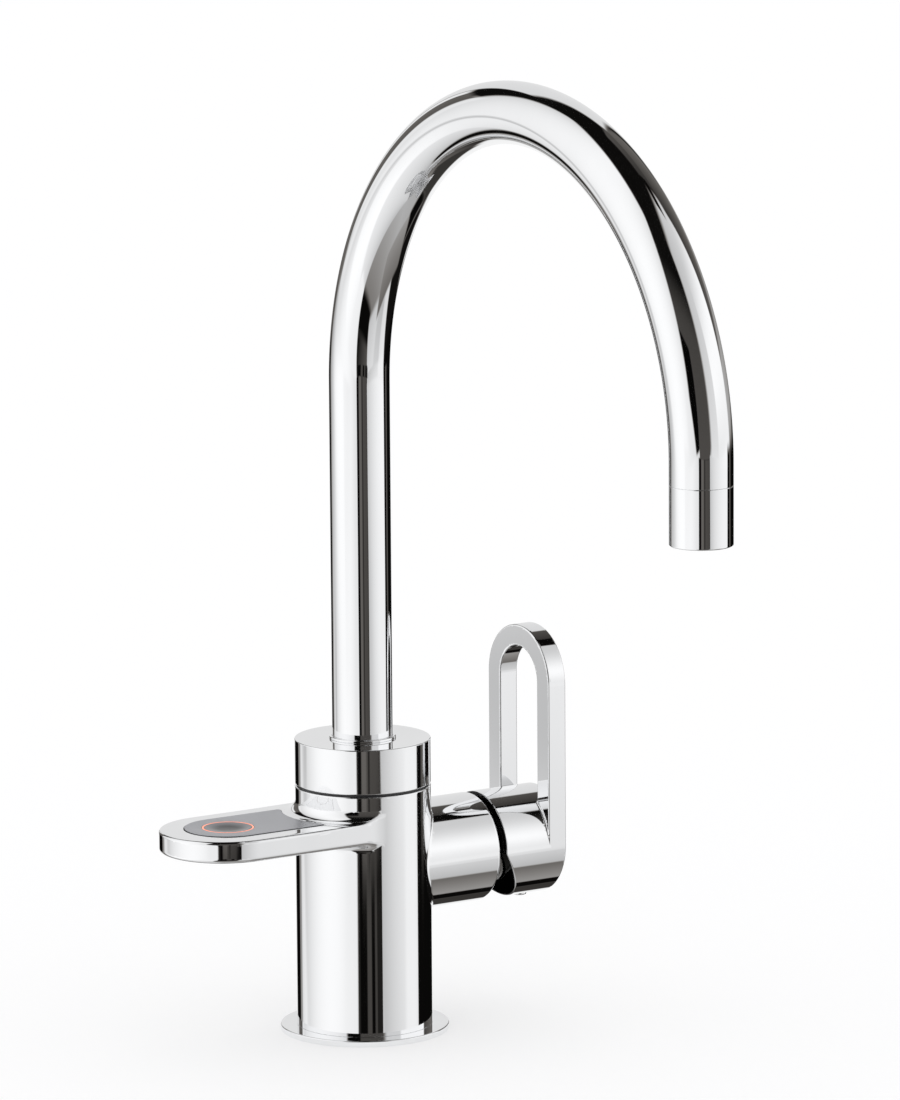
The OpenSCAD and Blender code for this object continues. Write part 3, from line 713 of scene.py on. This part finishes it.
def from_axis(t, x):
    """Distance from an upright axis on the tap's middle plane, in a node tree"""
    at = t.coordinates()
    across = at["X"] - x
    return t.math("SQRT", across * across + at["Y"] * at["Y"])


def glowing(colours, outer, inner):
    """Plastic with a red light in it, brightest halfway between the ring's edges"""
    material = moulded("Lit ring", (1.0, 0.35, 0.22), 0.25, 0.05, 0.0)
    t = Tree(material.node_tree)
    uneven = t.value("ShaderNodeTexNoise", {"Vector": t.point(), "Scale": 160, "Detail": 1})
    hue = t.blend(uneven, (*colours.glow, 1), (1, 0.3, 0.16, 1))
    off = t.math("ABSOLUTE", from_axis(t, SPOT_X) - (outer + inner) / 2)
    bright = t.math("SUBTRACT", 1.0, off / ((outer - inner) / 2), clamp=True)
    seen_directly = 1.0 - t.path()["Is Glossy Ray"]
    light = t.blend(bright * seen_directly, (0, 0, 0, 1), hue)
    t.fill(principled(material), {"Emission Color": light, "Emission Strength": colours.glow_strength})
    return material


class TAP_OT_touch_control(bpy.types.Operator):
    """Makes the control panel, the lit ring and the dished thumb spot"""
    bl_idname = "tap.touch_control"
    bl_label = "Touch control"

    def execute(self, context):
        s, colours = context.scene.tap_sizes, context.scene.tap_finishes
        low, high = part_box("control_panel")
        hole, hole_edge, step = 9.5 * MM, 0.08 * MM, 0.8 * MM

        def field(x, y, z):
            plate = meet(panel_plan(x, y, s.panel_corner), z - high.z - s.panel_rise, s.panel_edge)
            return meet(np.maximum(plate, low.z - z), hole - upright(x, y, SPOT_X, 0, 0), hole_edge)

        panel = cast("touch_panel", field, low, high + Vector((0, 0, s.panel_rise)), step)
        satin = frosted("Satin panel", colours.panel, 0.55, 0.34, 0.000012)
        # painted shade: the panel's sides below its face are near-black, for the shadow in the gap round the
        # panel
        sides = Tree(satin.node_tree).coordinates()["Z"] < high.z + s.panel_rise * 0.6
        shade_to(satin, sides, (0.008, 0.008, 0.009))
        # painted sheen: the panel shows as bright metal in the chrome's reflections
        paint_grazing_sheen(satin)
        place(panel, "tap_base", "panel", satin, "control_panel")

        low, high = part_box("led_ring")
        outer = (high.x - low.x) / 2
        inner, face = outer - 0.75 * MM, high.z + s.panel_rise
        ring = turned("lit_ring", pipe(inner, outer, low.z, face, 0.05 * MM, 0.05 * MM, 0.2 * MM, 0.2 * MM),
                      centre=(SPOT_X, 0, 0), steps=128)
        glow = glowing(colours, outer, inner)
        # painted sheen: the ring shows as bright metal in the chrome's reflections
        paint_grazing_sheen(glow)
        place(ring, "tap_base", "lit_ring", glow, "led_ring")

        low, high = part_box("touch_button")
        reach, dish, land, stem = (high.x - low.x) / 2, 0.6 * MM, 0.4 * MM, 1.7 * MM
        face, shoulder = high.z + s.panel_rise, high.z - 2.1 * MM
        dish_radius = ((reach - land) ** 2 + dish ** 2) / (2 * dish)
        span = math.degrees(math.asin((reach - land) / dish_radius))
        arc = bow(face - dish + dish_radius, dish_radius, -90, -90 + span, 14)
        spot = turned("thumb_spot", [
            (0, low.z, 0), (stem, low.z, 0.2 * MM), (stem, shoulder, 0.2 * MM), (reach, shoulder, 0.1 * MM),
            (reach, face, 0.12 * MM), (reach - land, face, 0.08 * MM), *arc[::-1], (0, face - dish, 0)],
            centre=(SPOT_X, 0, 0), steps=128)
        dished = frosted("Dished thumb spot", colours.button, 0.6, 0.3, 0.000003)
        t = Tree(dished.node_tree)
        # painted shade: the dish turns near-black towards its middle and stays lighter towards its rim
        middle = t.value("ShaderNodeMapRange", {
            "Value": from_axis(t, SPOT_X), "From Min": 0.35 * reach, "From Max": 0.95 * reach, "To Min": 1,
            "To Max": 0}, interpolation_type="SMOOTHSTEP")
        shade_to(dished, middle, (0.012, 0.012, 0.014))
        # painted sheen: the thumb spot shows as bright metal in the chrome's reflections
        paint_grazing_sheen(dished)
        place(spot, "button", "panel", dished, "touch_button")
        return {"FINISHED"}


class TAP_OT_collar(bpy.types.Operator):
    """Makes the swivelling collar, the ring at the tube's foot and the slide washer in the joint line"""
    bl_idname = "tap.collar"
    bl_label = "Collar"

    def execute(self, context):
        edge = context.scene.tap_sizes.broken_edge
        low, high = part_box("spout_collar")
        outer, tube, neck, hub = high.x, 11.05 * MM, 12.05 * MM, 14.5 * MM
        inner, neck_top, roof = outer - 2.2 * MM, low.z + 8 * MM, high.z - 3.4 * MM
        collar = turned("swivel_collar", [
            (neck, low.z, edge), (hub, low.z, edge), (hub, roof, edge), (inner, roof, edge),
            (inner, low.z, edge), (outer, low.z, 0.35 * MM), (outer, high.z, 0.4 * MM),
            (tube, high.z, edge), (tube, neck_top, edge), (neck, neck_top, edge)], steps=200)
        place(collar, "spout", "chrome", chrome(), "spout_collar")

        low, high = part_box("spout_foot_ring")
        ring = turned("tube_foot_ring", pipe(tube, high.x, low.z, high.z, edge, edge, 0.45 * MM, 0.25 * MM))
        place(ring, "spout", "chrome", chrome(), "spout_foot_ring")

        low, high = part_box("swivel_washer")
        washer = turned("slide_washer", pipe(13.2 * MM, high.x, low.z, high.z, *[edge] * 4))
        plastic = moulded("Washer plastic", (0.02, 0.02, 0.022), 0.35)
        place(washer, "tap_base", "black_plastic", plastic, "swivel_washer")
        return {"FINISHED"}


def geometry_tree(name, values):
    """A geometry node group with an input for each named value"""
    group = bpy.data.node_groups.new(name, "GeometryNodeTree")
    kinds = {float: "NodeSocketFloat", int: "NodeSocketInt", bpy.types.Material: "NodeSocketMaterial"}
    group.interface.new_socket("Geometry", in_out="INPUT", socket_type="NodeSocketGeometry")
    for title, value in values.items():
        group.interface.new_socket(title, in_out="INPUT", socket_type=kinds[type(value)])
    group.interface.new_socket("Geometry", in_out="OUTPUT", socket_type="NodeSocketGeometry")
    t = Tree(group)
    return group, t, t.outputs(t.node("NodeGroupInput")), t.node("NodeGroupOutput").inputs


def grown(name, group, values, start=None, extra=()):
    """The plain mesh that a geometry tree, and then any extra modifiers, make of a start mesh"""
    holder = linked(name + "_holder", start or bpy.data.meshes.new(name + "_start"))
    modifier = holder.modifiers.new("Shape", "NODES")
    modifier.node_group = group
    for item in group.interface.items_tree:
        if item.in_out == "INPUT" and item.name in values:
            modifier[item.identifier] = values[item.name]
    for kind, settings in extra:
        added = holder.modifiers.new(kind.title(), kind)
        for key, value in settings.items():
            setattr(added, key, value)
    bpy.context.view_layer.update()
    shown = holder.evaluated_get(bpy.context.evaluated_depsgraph_get())
    mesh = bpy.data.meshes.new_from_object(shown)
    mesh.name = name
    holder.modifiers.clear()
    bpy.data.objects.remove(holder)
    return linked(name, mesh)


def spout_tree(values):
    """A tube that runs up a leg, over a half circle and down to the nozzle"""
    group, t, v, sink = geometry_tree("Spout tube", values)
    leg = v["Arch start"] - v["Foot height"]
    arch = v["Arch radius"] * math.pi
    drop = v["Arch start"] - v["Tube end"]
    along = t.outputs(t.node("GeometryNodeSplineParameter"))["Factor"] * (leg + arch + drop)
    beyond = along - leg
    turned_by = t.math("MINIMUM", t.math("MAXIMUM", beyond, 0.0), arch) / v["Arch radius"]
    dropped = t.math("MAXIMUM", beyond - arch, 0.0)
    climbed = v["Foot height"] + t.math("MINIMUM", along, leg)
    height = climbed + (t.math("SINE", turned_by) * v["Arch radius"] - dropped)
    forward = (t.math("COSINE", turned_by) - 1.0) * v["Arch radius"]
    spot = t.node("ShaderNodeCombineXYZ", {"Y": forward, "Z": height})
    line = t.node("GeometryNodeCurvePrimitiveLine")
    points = t.node("GeometryNodeResampleCurve", {"Curve": line, "Count": v["Rings"]})
    path = t.node("GeometryNodeSetPosition", {"Geometry": points, "Position": spot})
    section = t.node("GeometryNodeCurvePrimitiveCircle", {"Resolution": v["Sides"], "Radius": v["Radius"]})
    tube = t.node("GeometryNodeCurveToMesh", {"Curve": path, "Profile Curve": section})
    real = t.node("GeometryNodeRealizeInstances", {"Geometry": tube})
    t.put(sink[0], t.node("GeometryNodeSetMaterial", {"Geometry": real, "Material": v["Finish"]}))
    return group


def jets_tree(values):
    """Drills a ring of jets through the start mesh"""
    group, t, v, sink = geometry_tree("Aerator jets", values)
    spots = t.node("GeometryNodeMeshCircle", {"Vertices": v["Jets"], "Radius": v["Ring radius"]})
    drill = t.node("GeometryNodeMeshCylinder", {
        "Vertices": 20, "Radius": v["Jet radius"], "Depth": v["Depth"]})
    many = t.node("GeometryNodeInstanceOnPoints", {"Points": spots, "Instance": drill})
    centre = t.node("ShaderNodeCombineXYZ", {"Y": v["Centre Y"], "Z": v["Centre Z"]})
    moved = t.node("GeometryNodeTransform", {"Geometry": many, "Translation": centre})
    real = t.node("GeometryNodeRealizeInstances", {"Geometry": moved})
    meshes = {"Mesh 1": v["Geometry"], "Mesh 2": real}
    drilled = t.node("GeometryNodeMeshBoolean", meshes, operation="DIFFERENCE")
    t.put(sink[0], t.node("GeometryNodeSetMaterial", {"Geometry": drilled, "Material": v["Finish"]}))
    return group


class TAP_OT_spout(bpy.types.Operator):
    """Makes the arched spout tube"""
    bl_idname = "tap.spout"
    bl_label = "Spout tube"

    def execute(self, context):
        low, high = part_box("spout_tube")
        wall, foot, end, radius = 1.5 * MM, 99.9 * MM, 231.7 * MM, high.x
        bend = (high.y - low.y - 2 * radius) / 2
        values = {"Foot height": foot, "Arch start": high.z - radius - bend, "Arch radius": bend,
                  "Tube end": end, "Radius": radius, "Rings": 330, "Sides": 96, "Finish": chrome()}
        tube = grown("arched_tube", spout_tree(values), values, extra=(
            ("SOLIDIFY", {"thickness": wall, "offset": -1, "use_even_offset": True}),
            ("BEVEL", {"width": 0.12 * MM, "segments": 2, "limit_method": "ANGLE",
                       "angle_limit": math.radians(40), "harden_normals": True})))
        place(tube, "spout", "chrome", chrome(), "spout_tube")
        return {"FINISHED"}


class TAP_OT_nozzle(bpy.types.Operator):
    """Makes the nozzle's sleeve, the aerator with its jets and the filtered-water nozzle"""
    bl_idname = "tap.nozzle"
    bl_label = "Nozzle"

    def execute(self, context):
        edge = context.scene.tap_sizes.broken_edge
        low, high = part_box("nozzle_sleeve")
        outlet = (0, (low.y + high.y) / 2, 0)
        lip, inner, seat = 8.6 * MM, 9.5 * MM, bottom("aerator_insert").z
        sleeve = turned("nozzle_sleeve_ring", [
            (lip, low.z, 0.3 * MM), (high.x, low.z, 0.5 * MM), (high.x, high.z, 0.26 * MM),
            (inner, high.z, edge), (inner, seat, edge), (lip, seat, edge)], centre=outlet, steps=160)
        place(sleeve, "spout", "chrome", chrome(), "nozzle_sleeve")

        low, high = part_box("aerator_insert")
        start = turned("aerator_start", pipe(3.55 * MM, high.x, low.z, high.z, *[edge] * 4), outlet, steps=96)
        plastic = moulded("Aerator plastic", (0.82, 0.81, 0.78), 0.35)
        values = {"Jets": 16, "Ring radius": 6.475 * MM, "Jet radius": 1 * MM, "Depth": 24 * MM,
                  "Centre Y": outlet[1], "Centre Z": (low.z + high.z) / 2, "Finish": plastic}
        mesh = start.data
        bpy.data.objects.remove(start)
        insert = grown("aerator_disc", jets_tree(values), values, start=mesh)
        insert.data.set_sharp_from_angle(angle=math.radians(35))
        place(insert, "spout", "ivory_plastic", plastic, "aerator_insert")

        low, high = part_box("filtered_nozzle")
        mouth, inner, seat = 2 * MM, 3.05 * MM, low.z + 7.1 * MM
        tip = turned("filtered_water_nozzle", [
            (mouth, low.z, edge), (high.x, low.z, 0.25 * MM), (high.x, high.z, edge), (inner, high.z, edge),
            (inner, seat, edge), (mouth, seat, edge)], centre=outlet, steps=72)
        brass = machined("Turned brass", context.scene.tap_finishes.brass)
        place(tip, "spout", "brass", brass, "filtered_nozzle")
        return {"FINISHED"}


class TAP_OT_lever(bpy.types.Operator):
    """Makes the looped lever with its cap, the plug under it and the ball-shaped cover behind it"""
    bl_idname = "tap.lever"
    bl_label = "Lever"

    def execute(self, context):
        s = context.scene.tap_sizes
        low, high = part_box("lever_handle")
        radius, inner, loop_z = high.y, 12.2 * MM, high.z - high.y
        pivot_x, plate_x, seat, edge = 46 * MM, 67.8 * MM, 16.7 * MM, s.lever_edge
        stem_x, stem_y, stem_z = 71 * MM, 3.05 * MM, 3.55 * MM
        seat_edge, hole_edge, step, below = 0.15 * MM, 0.1 * MM, 0.9 * MM, -120

        def field(x, y, z):
            cap = meet(np.hypot(y, z - BARREL_Z) - radius, x - high.x, edge)
            front = low.x - x
            slant = (front + (BARREL_Z - z) * CAP_CUT) / math.hypot(1, CAP_CUT)
            middle = np.hypot(y, z - np.clip(z, BARREL_Z, loop_z))
            bars = meet(np.maximum(middle - radius, BARREL_Z - z), inner - middle, 0.0)
            bars = meet(meet(bars, x - high.x, edge), plate_x - x, edge)
            rise = ease(z, BARREL_Z + 2 * MM, BARREL_Z + 8 * MM)
            solid = join(cap, bars, s.lever_fillet * rise * ease(high.x - x, MM, 5 * MM))
            solid = meet(solid, np.maximum(front, slant), s.cap_rim_edge)
            ball = np.sqrt((x - pivot_x) ** 2 + y ** 2 + (z - BARREL_Z) ** 2)
            solid = meet(solid, seat - ball, seat_edge)
            stem = np.maximum(np.abs(y) - stem_y, np.abs(z - BARREL_Z) - stem_z)
            stem = np.maximum(stem, slab(x, pivot_x, stem_x))
            plug = bore((x, y, z), "Z", 67.8, 0, 2.75, below, 45.8)
            grub = bore((x, y, z), "Z", 67.8, 0, 2.55, below, 62)
            return meet(solid, -np.minimum.reduce([stem, plug, grub]), hole_edge)

        handle = cast("loop_lever", field, low, high, step)
        place(handle, "lever", "chrome", chrome_with_painted_joint_shade(), "lever_handle")

        low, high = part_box("screw_plug")
        outline = pipe(0, (high.x - low.x) / 2, low.z, high.z, 0, 0.6 * MM, 0.1 * MM, 0)
        plug = turned("cap_screw_plug", outline, centre=(plate_x, 0, 0), steps=64)
        place(plug, "lever", "chrome", chrome(), "screw_plug")

        ball, thin, start, hole = 16 * MM, 15 * MM, 0.5 * MM, 11.5 * MM
        skirt, skirt_top = 17.4 * MM, 0.95 * MM

        def across(size, height):
            return math.sqrt(size ** 2 - height ** 2)

        def arc(size, height):
            """Corners of a ball's outline from a height on its axis to the hole"""
            first, last = math.asin(height / size), math.acos(hole / size)
            return bow(0, size, math.degrees(first), math.degrees(last), 10)

        cover = turned("ball_cover", [
            (skirt, start, 0.05 * MM), (skirt, skirt_top, 0.1 * MM),
            (across(ball, skirt_top), skirt_top, 0.05 * MM), *arc(ball, skirt_top),
            (hole, across(ball, hole), 0.1 * MM), (hole, across(thin, hole), 0.1 * MM),
            *arc(thin, start)[::-1], (across(thin, start), start, 0.05 * MM)],
            centre=(pivot_x, 0, BARREL_Z), along="X", steps=128)
        # painted shade: the ball cover is a darkened metal, for a chrome ball seen in the shade of the joint
        dark = finish_material("Cover metal with painted shade", (0.2, 0.19, 0.18), 1.0, handling_group(), {
            "Base roughness": 0.1, "Smear roughness": 0.1})
        place(cover, "tap_base", "black_plastic", dark, "dome_cover")
        return {"FINISHED"}


class TAP_OT_inner_parts(bpy.types.Operator):
    """Gives the nodes that stay as they are, mostly inside the tap, their finishes"""
    bl_idname = "tap.inner_parts"
    bl_label = "Inner parts"

    def execute(self, context):
        colours = context.scene.tap_finishes
        milky = moulded("Milky plastic", (0.85, 0.87, 0.86), 0.3, 0.1, 0.00001)
        principled(milky)["Transmission Weight"].default_value = 0.35
        finishes = {
            machined("Turned brass", colours.brass): (
                "inlet_block", "cartridge_nut", "spout_spigot", "outlet_bush", "cartridge_stem"),
            machined("Bright steel", (0.6, 0.6, 0.61), 0.16): (
                "spout_retaining_screw", "board_screws", "pivot_pin", "lever_grub_screw"),
            moulded("Seal rubber", colours.rubber, 0.62, 0.15, 0.00003): (
                "base_gasket", "filtered_tube_seal", "cable_grommet", "panel_gasket", "cartridge_seals",
                "spout_o_rings", "aerator_seal"),
            moulded("Ivory plastic", (0.85, 0.83, 0.77), 0.36): (
                "hot_check_valve", "cold_check_valve", "cartridge_base", "cartridge_housing"),
            moulded("Blue plastic", (0.1, 0.22, 0.5), 0.4): ("spindle_guide", "disc_carrier"),
            moulded("Black plastic", (0.03, 0.03, 0.034), 0.38): ("tact_switch",),
            moulded("Lapped ceramic", (0.88, 0.87, 0.85), 0.08, 0.05, 0.000002): (
                "fixed_ceramic_disc", "moving_ceramic_disc"),
            moulded("Solder mask", (0.02, 0.17, 0.07), 0.3, 0.1, 0.00001): ("control_board",),
            milky: ("inner_water_tube",)}
        for material, nodes in finishes.items():
            for name in nodes:
                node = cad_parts[name]
                node.data.materials.clear()
                node.data.materials.append(material)
        return {"FINISHED"}


# Studio


def light_box_group():
    """Lays one soft panel of the studio over the light under it, in degrees round and above the tap"""
    group, t, v, sink = shader_group("Light panel", {
        "Under": 0, "Round": 0, "Above": 0, "Middle": 0, "Half width": 10, "Low": -30, "High": 30,
        "Lean left": 0, "Lean right": 0, "Soft side": 2, "Soft end": 4, "Level": 1, "Across": 0, "Bow": 0,
        "Rise": 0}, {"Light": "NodeSocketFloat"})

    def soft(distance, width):
        half = v[width] * 0.5
        limits = {"Value": distance, "From Min": half * -1.0, "From Max": half}
        return t.value("ShaderNodeMapRange", limits, interpolation_type="SMOOTHSTEP")

    def clipped(value):
        return t.math("MAXIMUM", t.math("MINIMUM", value, 1.0), -1.0)

    away = t.math("WRAP", v["Round"] - v["Middle"], 180.0, -180.0)
    angle = t.math("RADIANS", t.math("MINIMUM", t.math("ABSOLUTE", away), 80.0))
    height = t.math("RADIANS", v["Above"])
    flat = t.math("COSINE", height) * t.math("COSINE", angle)
    line = t.math("DEGREES", t.math("ARCTAN2", t.math("SINE", height), flat))
    left = away + v["Half width"] - v["Lean left"] * v["Above"]
    right = v["Half width"] - away + v["Lean right"] * v["Above"]
    sides = soft(left, "Soft side") * soft(right, "Soft side")
    ends = soft(line - v["Low"], "Soft end") * soft(v["High"] - line, "Soft end")
    across = clipped(away / v["Half width"])
    rise = clipped((line - v["Low"]) / (v["High"] - v["Low"]) * 2.0 - 1.0)
    change = v["Across"] * across - v["Bow"] * (across * across) + v["Rise"] * rise
    level = t.math("MAXIMUM", v["Level"] * (change + 1.0), 0.0)
    layers = {0: sides * ends, 2: v["Under"], 3: level}
    t.put(sink["Light"], t.value("ShaderNodeMix", layers, data_type="FLOAT"))
    return group


# The studio's soft panels from the lowest to the topmost layer, in degrees round the tap from the camera's
# side and above it: left, right, low, high, lean of the left and right edge, softness of the sides and ends,
# level, and where it isn't even, how the level changes across, towards both sides, and upward
PANELS = (
    # the floor, and what lies low behind the tap
    (-180, 180, -95, -32, 0, 0, 1, 10, 0.33, -0.1, 0, -0.55),
    (170, 200, -95, -36, 0, 0, 6, 8, 0.17, -0.4, 0, -0.7),
    # in front: a grey wall, a black block, a grey patch and a black strip below
    (-34, 34, -28, 41, 0, 0, 3, 24, 0.07, 0, 0, -0.25),
    (-34, -7, -12, 24, 0, 0, 3, 2, 0.002),
    (-13, 31, -28, -11, 0, 0, 3, 6, 0.05, 0.95, 0, 0.1),
    (-30, 26, -42, -27, 0, 0, 6, 5, 0.003),
    # the left soft box: its light on the floor, the box, and the two parts that reach to the camera's side
    (-130, -27, -95, -32, 0, -0.1, 5, 16, 0.78, 0.04, 0.18, 0.22),
    (-131, -30, -40, 71, 0, 0, 5, 5, 1.06, 0.05, 0.26, -0.06),
    (-45, -24, -12, 6, 0, -1.05, 5, 3, 0.9, -0.05),
    (-45, -4, -40, -10, 0, 0.46, 3, 3, 0.95, -0.05),
    (-62, -9, -12.5, -7, 0, 0, 2, 3, 0.93, -0.09),
    # dark strips beside it, and a light one at either side of them
    (-142, -132, -66, -17, 0, 0, 4, 5, 0.003),
    (-141, -126, -4, 22, 0.2, 0, 3, 4, 0.86),
    (-164, -157, -3, 22, 0.4, 0.4, 2, 4, 0.86),
    (-158, -136, -6, 23, 0.5, 0.2, 4, 3, 0.13, -0.2),
    (-161, -139, -17, -7, 0, 0, 2, 3, 0.003),
    # the right soft boxes
    (35, 121, -30, 66, 0, 0, 9, 7, 0.75, 0.08, 0, -0.22),
    (33, 106, -44, -6, 0.22, 0.05, 3, 6, 0.78, 0.12, 0, 0.14),
    (64, 122, -2, 34, 0, 0, 5, 36, 1.06),
    (46, 70, -41.5, -14, -0.45, -0.45, 8, 7, 0.6, 0, 0, 0.16),
    # the light behind the tap
    (168, 195, -10, 48, -0.2, 0.4, 3, 5, 0.78, 0, 0, -0.05),
    (156, 196, -38, -10, 0, 0, 3, 5, 0.95),
    # dark parts on the right
    (122, 160, 5, 49, -0.1, 0, 4, 6, 0.1, 0.45, 0, -0.2),
    (122, 168, -7, 6, 0, 0, 6, 6, 0.36, -0.2),
    (126, 162, 47, 62, 0, 0, 3, 4, 0.06, 0.4),
    (103, 129, 54, 62, 0, 0, 3, 3, 0.003),
    (105, 153, -42, -12, 0, 0, 5, 5, 0.006),
    (56, 124, -66, -39.2, 0, 0, 6, 3, 0.24, 0.1, 0, -0.35),
    (123, 149, -64, -42, 0, 0, 5, 6, 0.003),
    (147, 186, -66, -36, 0, 0, 6, 5, 0.04),
    # what the upright faces show: left box, dark front with grey streaks, right box, dark side with a glint
    (-139, -6.2, -18, -11.3, 0, 0, 2, 3, 1.04, 0.2, 0.49),
    (-118, -110, -12.1, -10.8, 0, 0, 5, 1, 0.56),
    (-6.2, 31.9, -17, -12.6, 0, 0, 1.5, 0.6, 0.003),
    (-10, 29.4, -12.6, -7, 0, 0, 1.5, 0.6, 0.003),
    (-1.5, 28, -12.6, -7, 0, 0, 2, 0.6, 0.075, -0.1),
    (-1.5, 6.5, -12.6, -7, 0, 0, 3, 0.6, 0.135),
    (9.3, 12.3, -12.6, -7, 0, 0, 2, 0.6, 0.018),
    (5.8, 13.2, -17, -12.7, 0, 0, 2.5, 0.6, 0.065),
    (18.8, 23, -17, -12.7, 0, 0, 2, 0.6, 0.055),
    (22.8, 31, -17, -12.7, 0, 0, 2, 0.6, 0.014),
    (29.4, 105, -12.6, -7, 0, 0, 1.5, 1.2, 0.92, 0.2, 0.1),
    (31.9, 105, -17, -11.6, 0, 0, 1.5, 2, 0.8, 0.22, 0.06, 0.06),
    (76, 100, -17, -10.4, 0, 0, 10, 4, 0.95),
    (105, 168, -17, -7, 0, 0, 2, 3, 0.003),
    (117, 125, -12.4, -7, 0, 0, 4, 0.6, 0.1),
)
DARK = 0.004  # light from where no panel is

# The camera's direction round the tap, how far it looks down, its roll and its place
CAMERA_TURN, CAMERA_FALL, CAMERA_ROLL = math.radians(-32.9), 0.1801, 0.0069
CAMERA_PLACE = (-1.484335, -2.353787, 0.683641)


def add_camera(scene, lens):
    data = bpy.data.cameras.new("Photo camera")
    data.sensor_fit, data.sensor_width = "AUTO", 36
    data.lens = lens
    data.clip_start, data.clip_end = 0.05, 60
    scene.camera = linked("Photo camera", data)
    turn = Matrix.Rotation(CAMERA_TURN, 4, "Z") @ Matrix.Rotation(math.pi / 2 - CAMERA_FALL, 4, "X")
    roll = Matrix.Rotation(-CAMERA_ROLL, 4, "Z")
    scene.camera.matrix_world = Matrix.Translation(CAMERA_PLACE) @ turn @ roll


def add_floor(size):
    """A pale floor with the tap's soft shadow, which chrome mirrors only where it touches the floor"""
    half, touching = size / 2, 12 * MM
    corners = np.array([(-half, -half, 0), (half, -half, 0), (half, half, 0), (-half, half, 0)])
    floor = make_object("floor", corners, [(0, 1, 2, 3)])
    material = bpy.data.materials.new("Pale floor")
    material.use_nodes = True
    nodes, t = material.node_tree.nodes, Tree(material.node_tree)
    nodes.remove(nodes["Principled BSDF"])
    path = t.path()
    seen = t.math("MAXIMUM", path["Is Camera Ray"], path["Is Glossy Ray"])
    matte = t.node("ShaderNodeBsdfDiffuse", {"Color": (0.55, 0.55, 0.555, 1)})
    glow = t.node("ShaderNodeEmission", {"Color": (1, 1, 1, 1), "Strength": seen * 0.45})
    lit = t.node("ShaderNodeAddShader", {0: matte, 1: glow})
    far = path["Is Glossy Ray"] * (path["Ray Length"] > touching)
    clear = t.node("ShaderNodeBsdfTransparent")
    surface = t.node("ShaderNodeMixShader", {0: far, 1: lit, 2: clear})
    t.put(nodes["Material Output"].inputs["Surface"], surface)
    floor.data.materials.append(material)


def add_light(scene):
    """White light all round, in which mirrors see the soft panels"""
    world = bpy.data.worlds.new("Studio")
    scene.world = world
    world.use_nodes = True
    t = Tree(world.node_tree)
    direction = t.outputs(t.node("ShaderNodeTexCoord"))["Generated"]

    def along(*axis):
        product = t.node("ShaderNodeVectorMath", {0: direction, 1: axis}, operation="DOT_PRODUCT")
        return t.outputs(product)["Value"]

    near = along(math.sin(CAMERA_TURN), -math.cos(CAMERA_TURN), 0)
    side = along(math.cos(CAMERA_TURN), math.sin(CAMERA_TURN), 0)
    round_about = t.math("DEGREES", t.math("ARCTAN2", side, near))
    upward = t.math("DEGREES", t.math("ARCSINE", along(0, 0, 1)))
    group, light = light_box_group(), DARK
    for left, right, *others in PANELS:
        panel = t.node("ShaderNodeGroup", node_tree=group)
        values = (light, round_about, upward, (left + right) / 2, (right - left) / 2, *others)
        for socket, value in zip(panel.inputs, values):
            t.put(socket, value)
        light = panel.outputs["Light"]
    bright = t.value("ShaderNodeMapRange", {"Value": light, "From Min": 0.1, "From Max": 0.5})
    warmth = t.blend(bright, (1, 0.93, 0.86, 1), (1, 1, 1, 1))
    plain = t.node("ShaderNodeBackground", {"Color": (1, 1, 1, 1), "Strength": 1})
    panels = t.node("ShaderNodeBackground", {"Color": warmth, "Strength": light})
    both = t.node("ShaderNodeMixShader", {0: t.path()["Is Glossy Ray"], 1: plain, 2: panels})
    t.put(world.node_tree.nodes["World Output"].inputs["Surface"], both)


class TAP_OT_studio(bpy.types.Operator):
    """Makes the pale floor, the soft studio light and the camera"""
    bl_idname = "tap.studio"
    bl_label = "Studio"

    def execute(self, context):
        scene, studio = context.scene, context.scene.tap_studio
        scene.view_settings.view_transform = "Standard"
        add_camera(scene, studio.lens)
        add_floor(studio.floor_size)
        add_light(scene)
        return {"FINISHED"}


class TAP_PT_panel(bpy.types.Panel):
    """Lists the steps that build the tap"""
    bl_idname = "TAP_PT_panel"
    bl_label = "Filter kitchen mixer tap"
    bl_space_type = "VIEW_3D"
    bl_region_type = "UI"
    bl_category = "Tap"

    def draw(self, context):
        for group in (context.scene.tap_sizes, context.scene.tap_finishes, context.scene.tap_studio):
            box = self.layout.box()
            for name in group.__annotations__:
                box.prop(group, name)
        for step in STEPS:
            self.layout.operator(step.bl_idname)


STEPS = (TAP_OT_base_flange, TAP_OT_body, TAP_OT_touch_control, TAP_OT_collar, TAP_OT_spout, TAP_OT_nozzle,
         TAP_OT_lever, TAP_OT_inner_parts, TAP_OT_studio)
GROUPS = {"tap_sizes": TapSizes, "tap_finishes": TapFinishes, "tap_studio": TapStudio}


def register():
    for kind in (*GROUPS.values(), *STEPS, TAP_PT_panel):
        bpy.utils.register_class(kind)
    for name, kind in GROUPS.items():
        setattr(bpy.types.Scene, name, bpy.props.PointerProperty(type=kind))


def unregister():
    for name in GROUPS:
        delattr(bpy.types.Scene, name)
    for kind in (TAP_PT_panel, *STEPS[::-1], *GROUPS.values()):
        bpy.utils.unregister_class(kind)


def main():
    register()
    for step in STEPS:
        family, name = step.bl_idname.split(".")
        getattr(getattr(bpy.ops, family), name)()


if __name__ == "__main__":
    main()
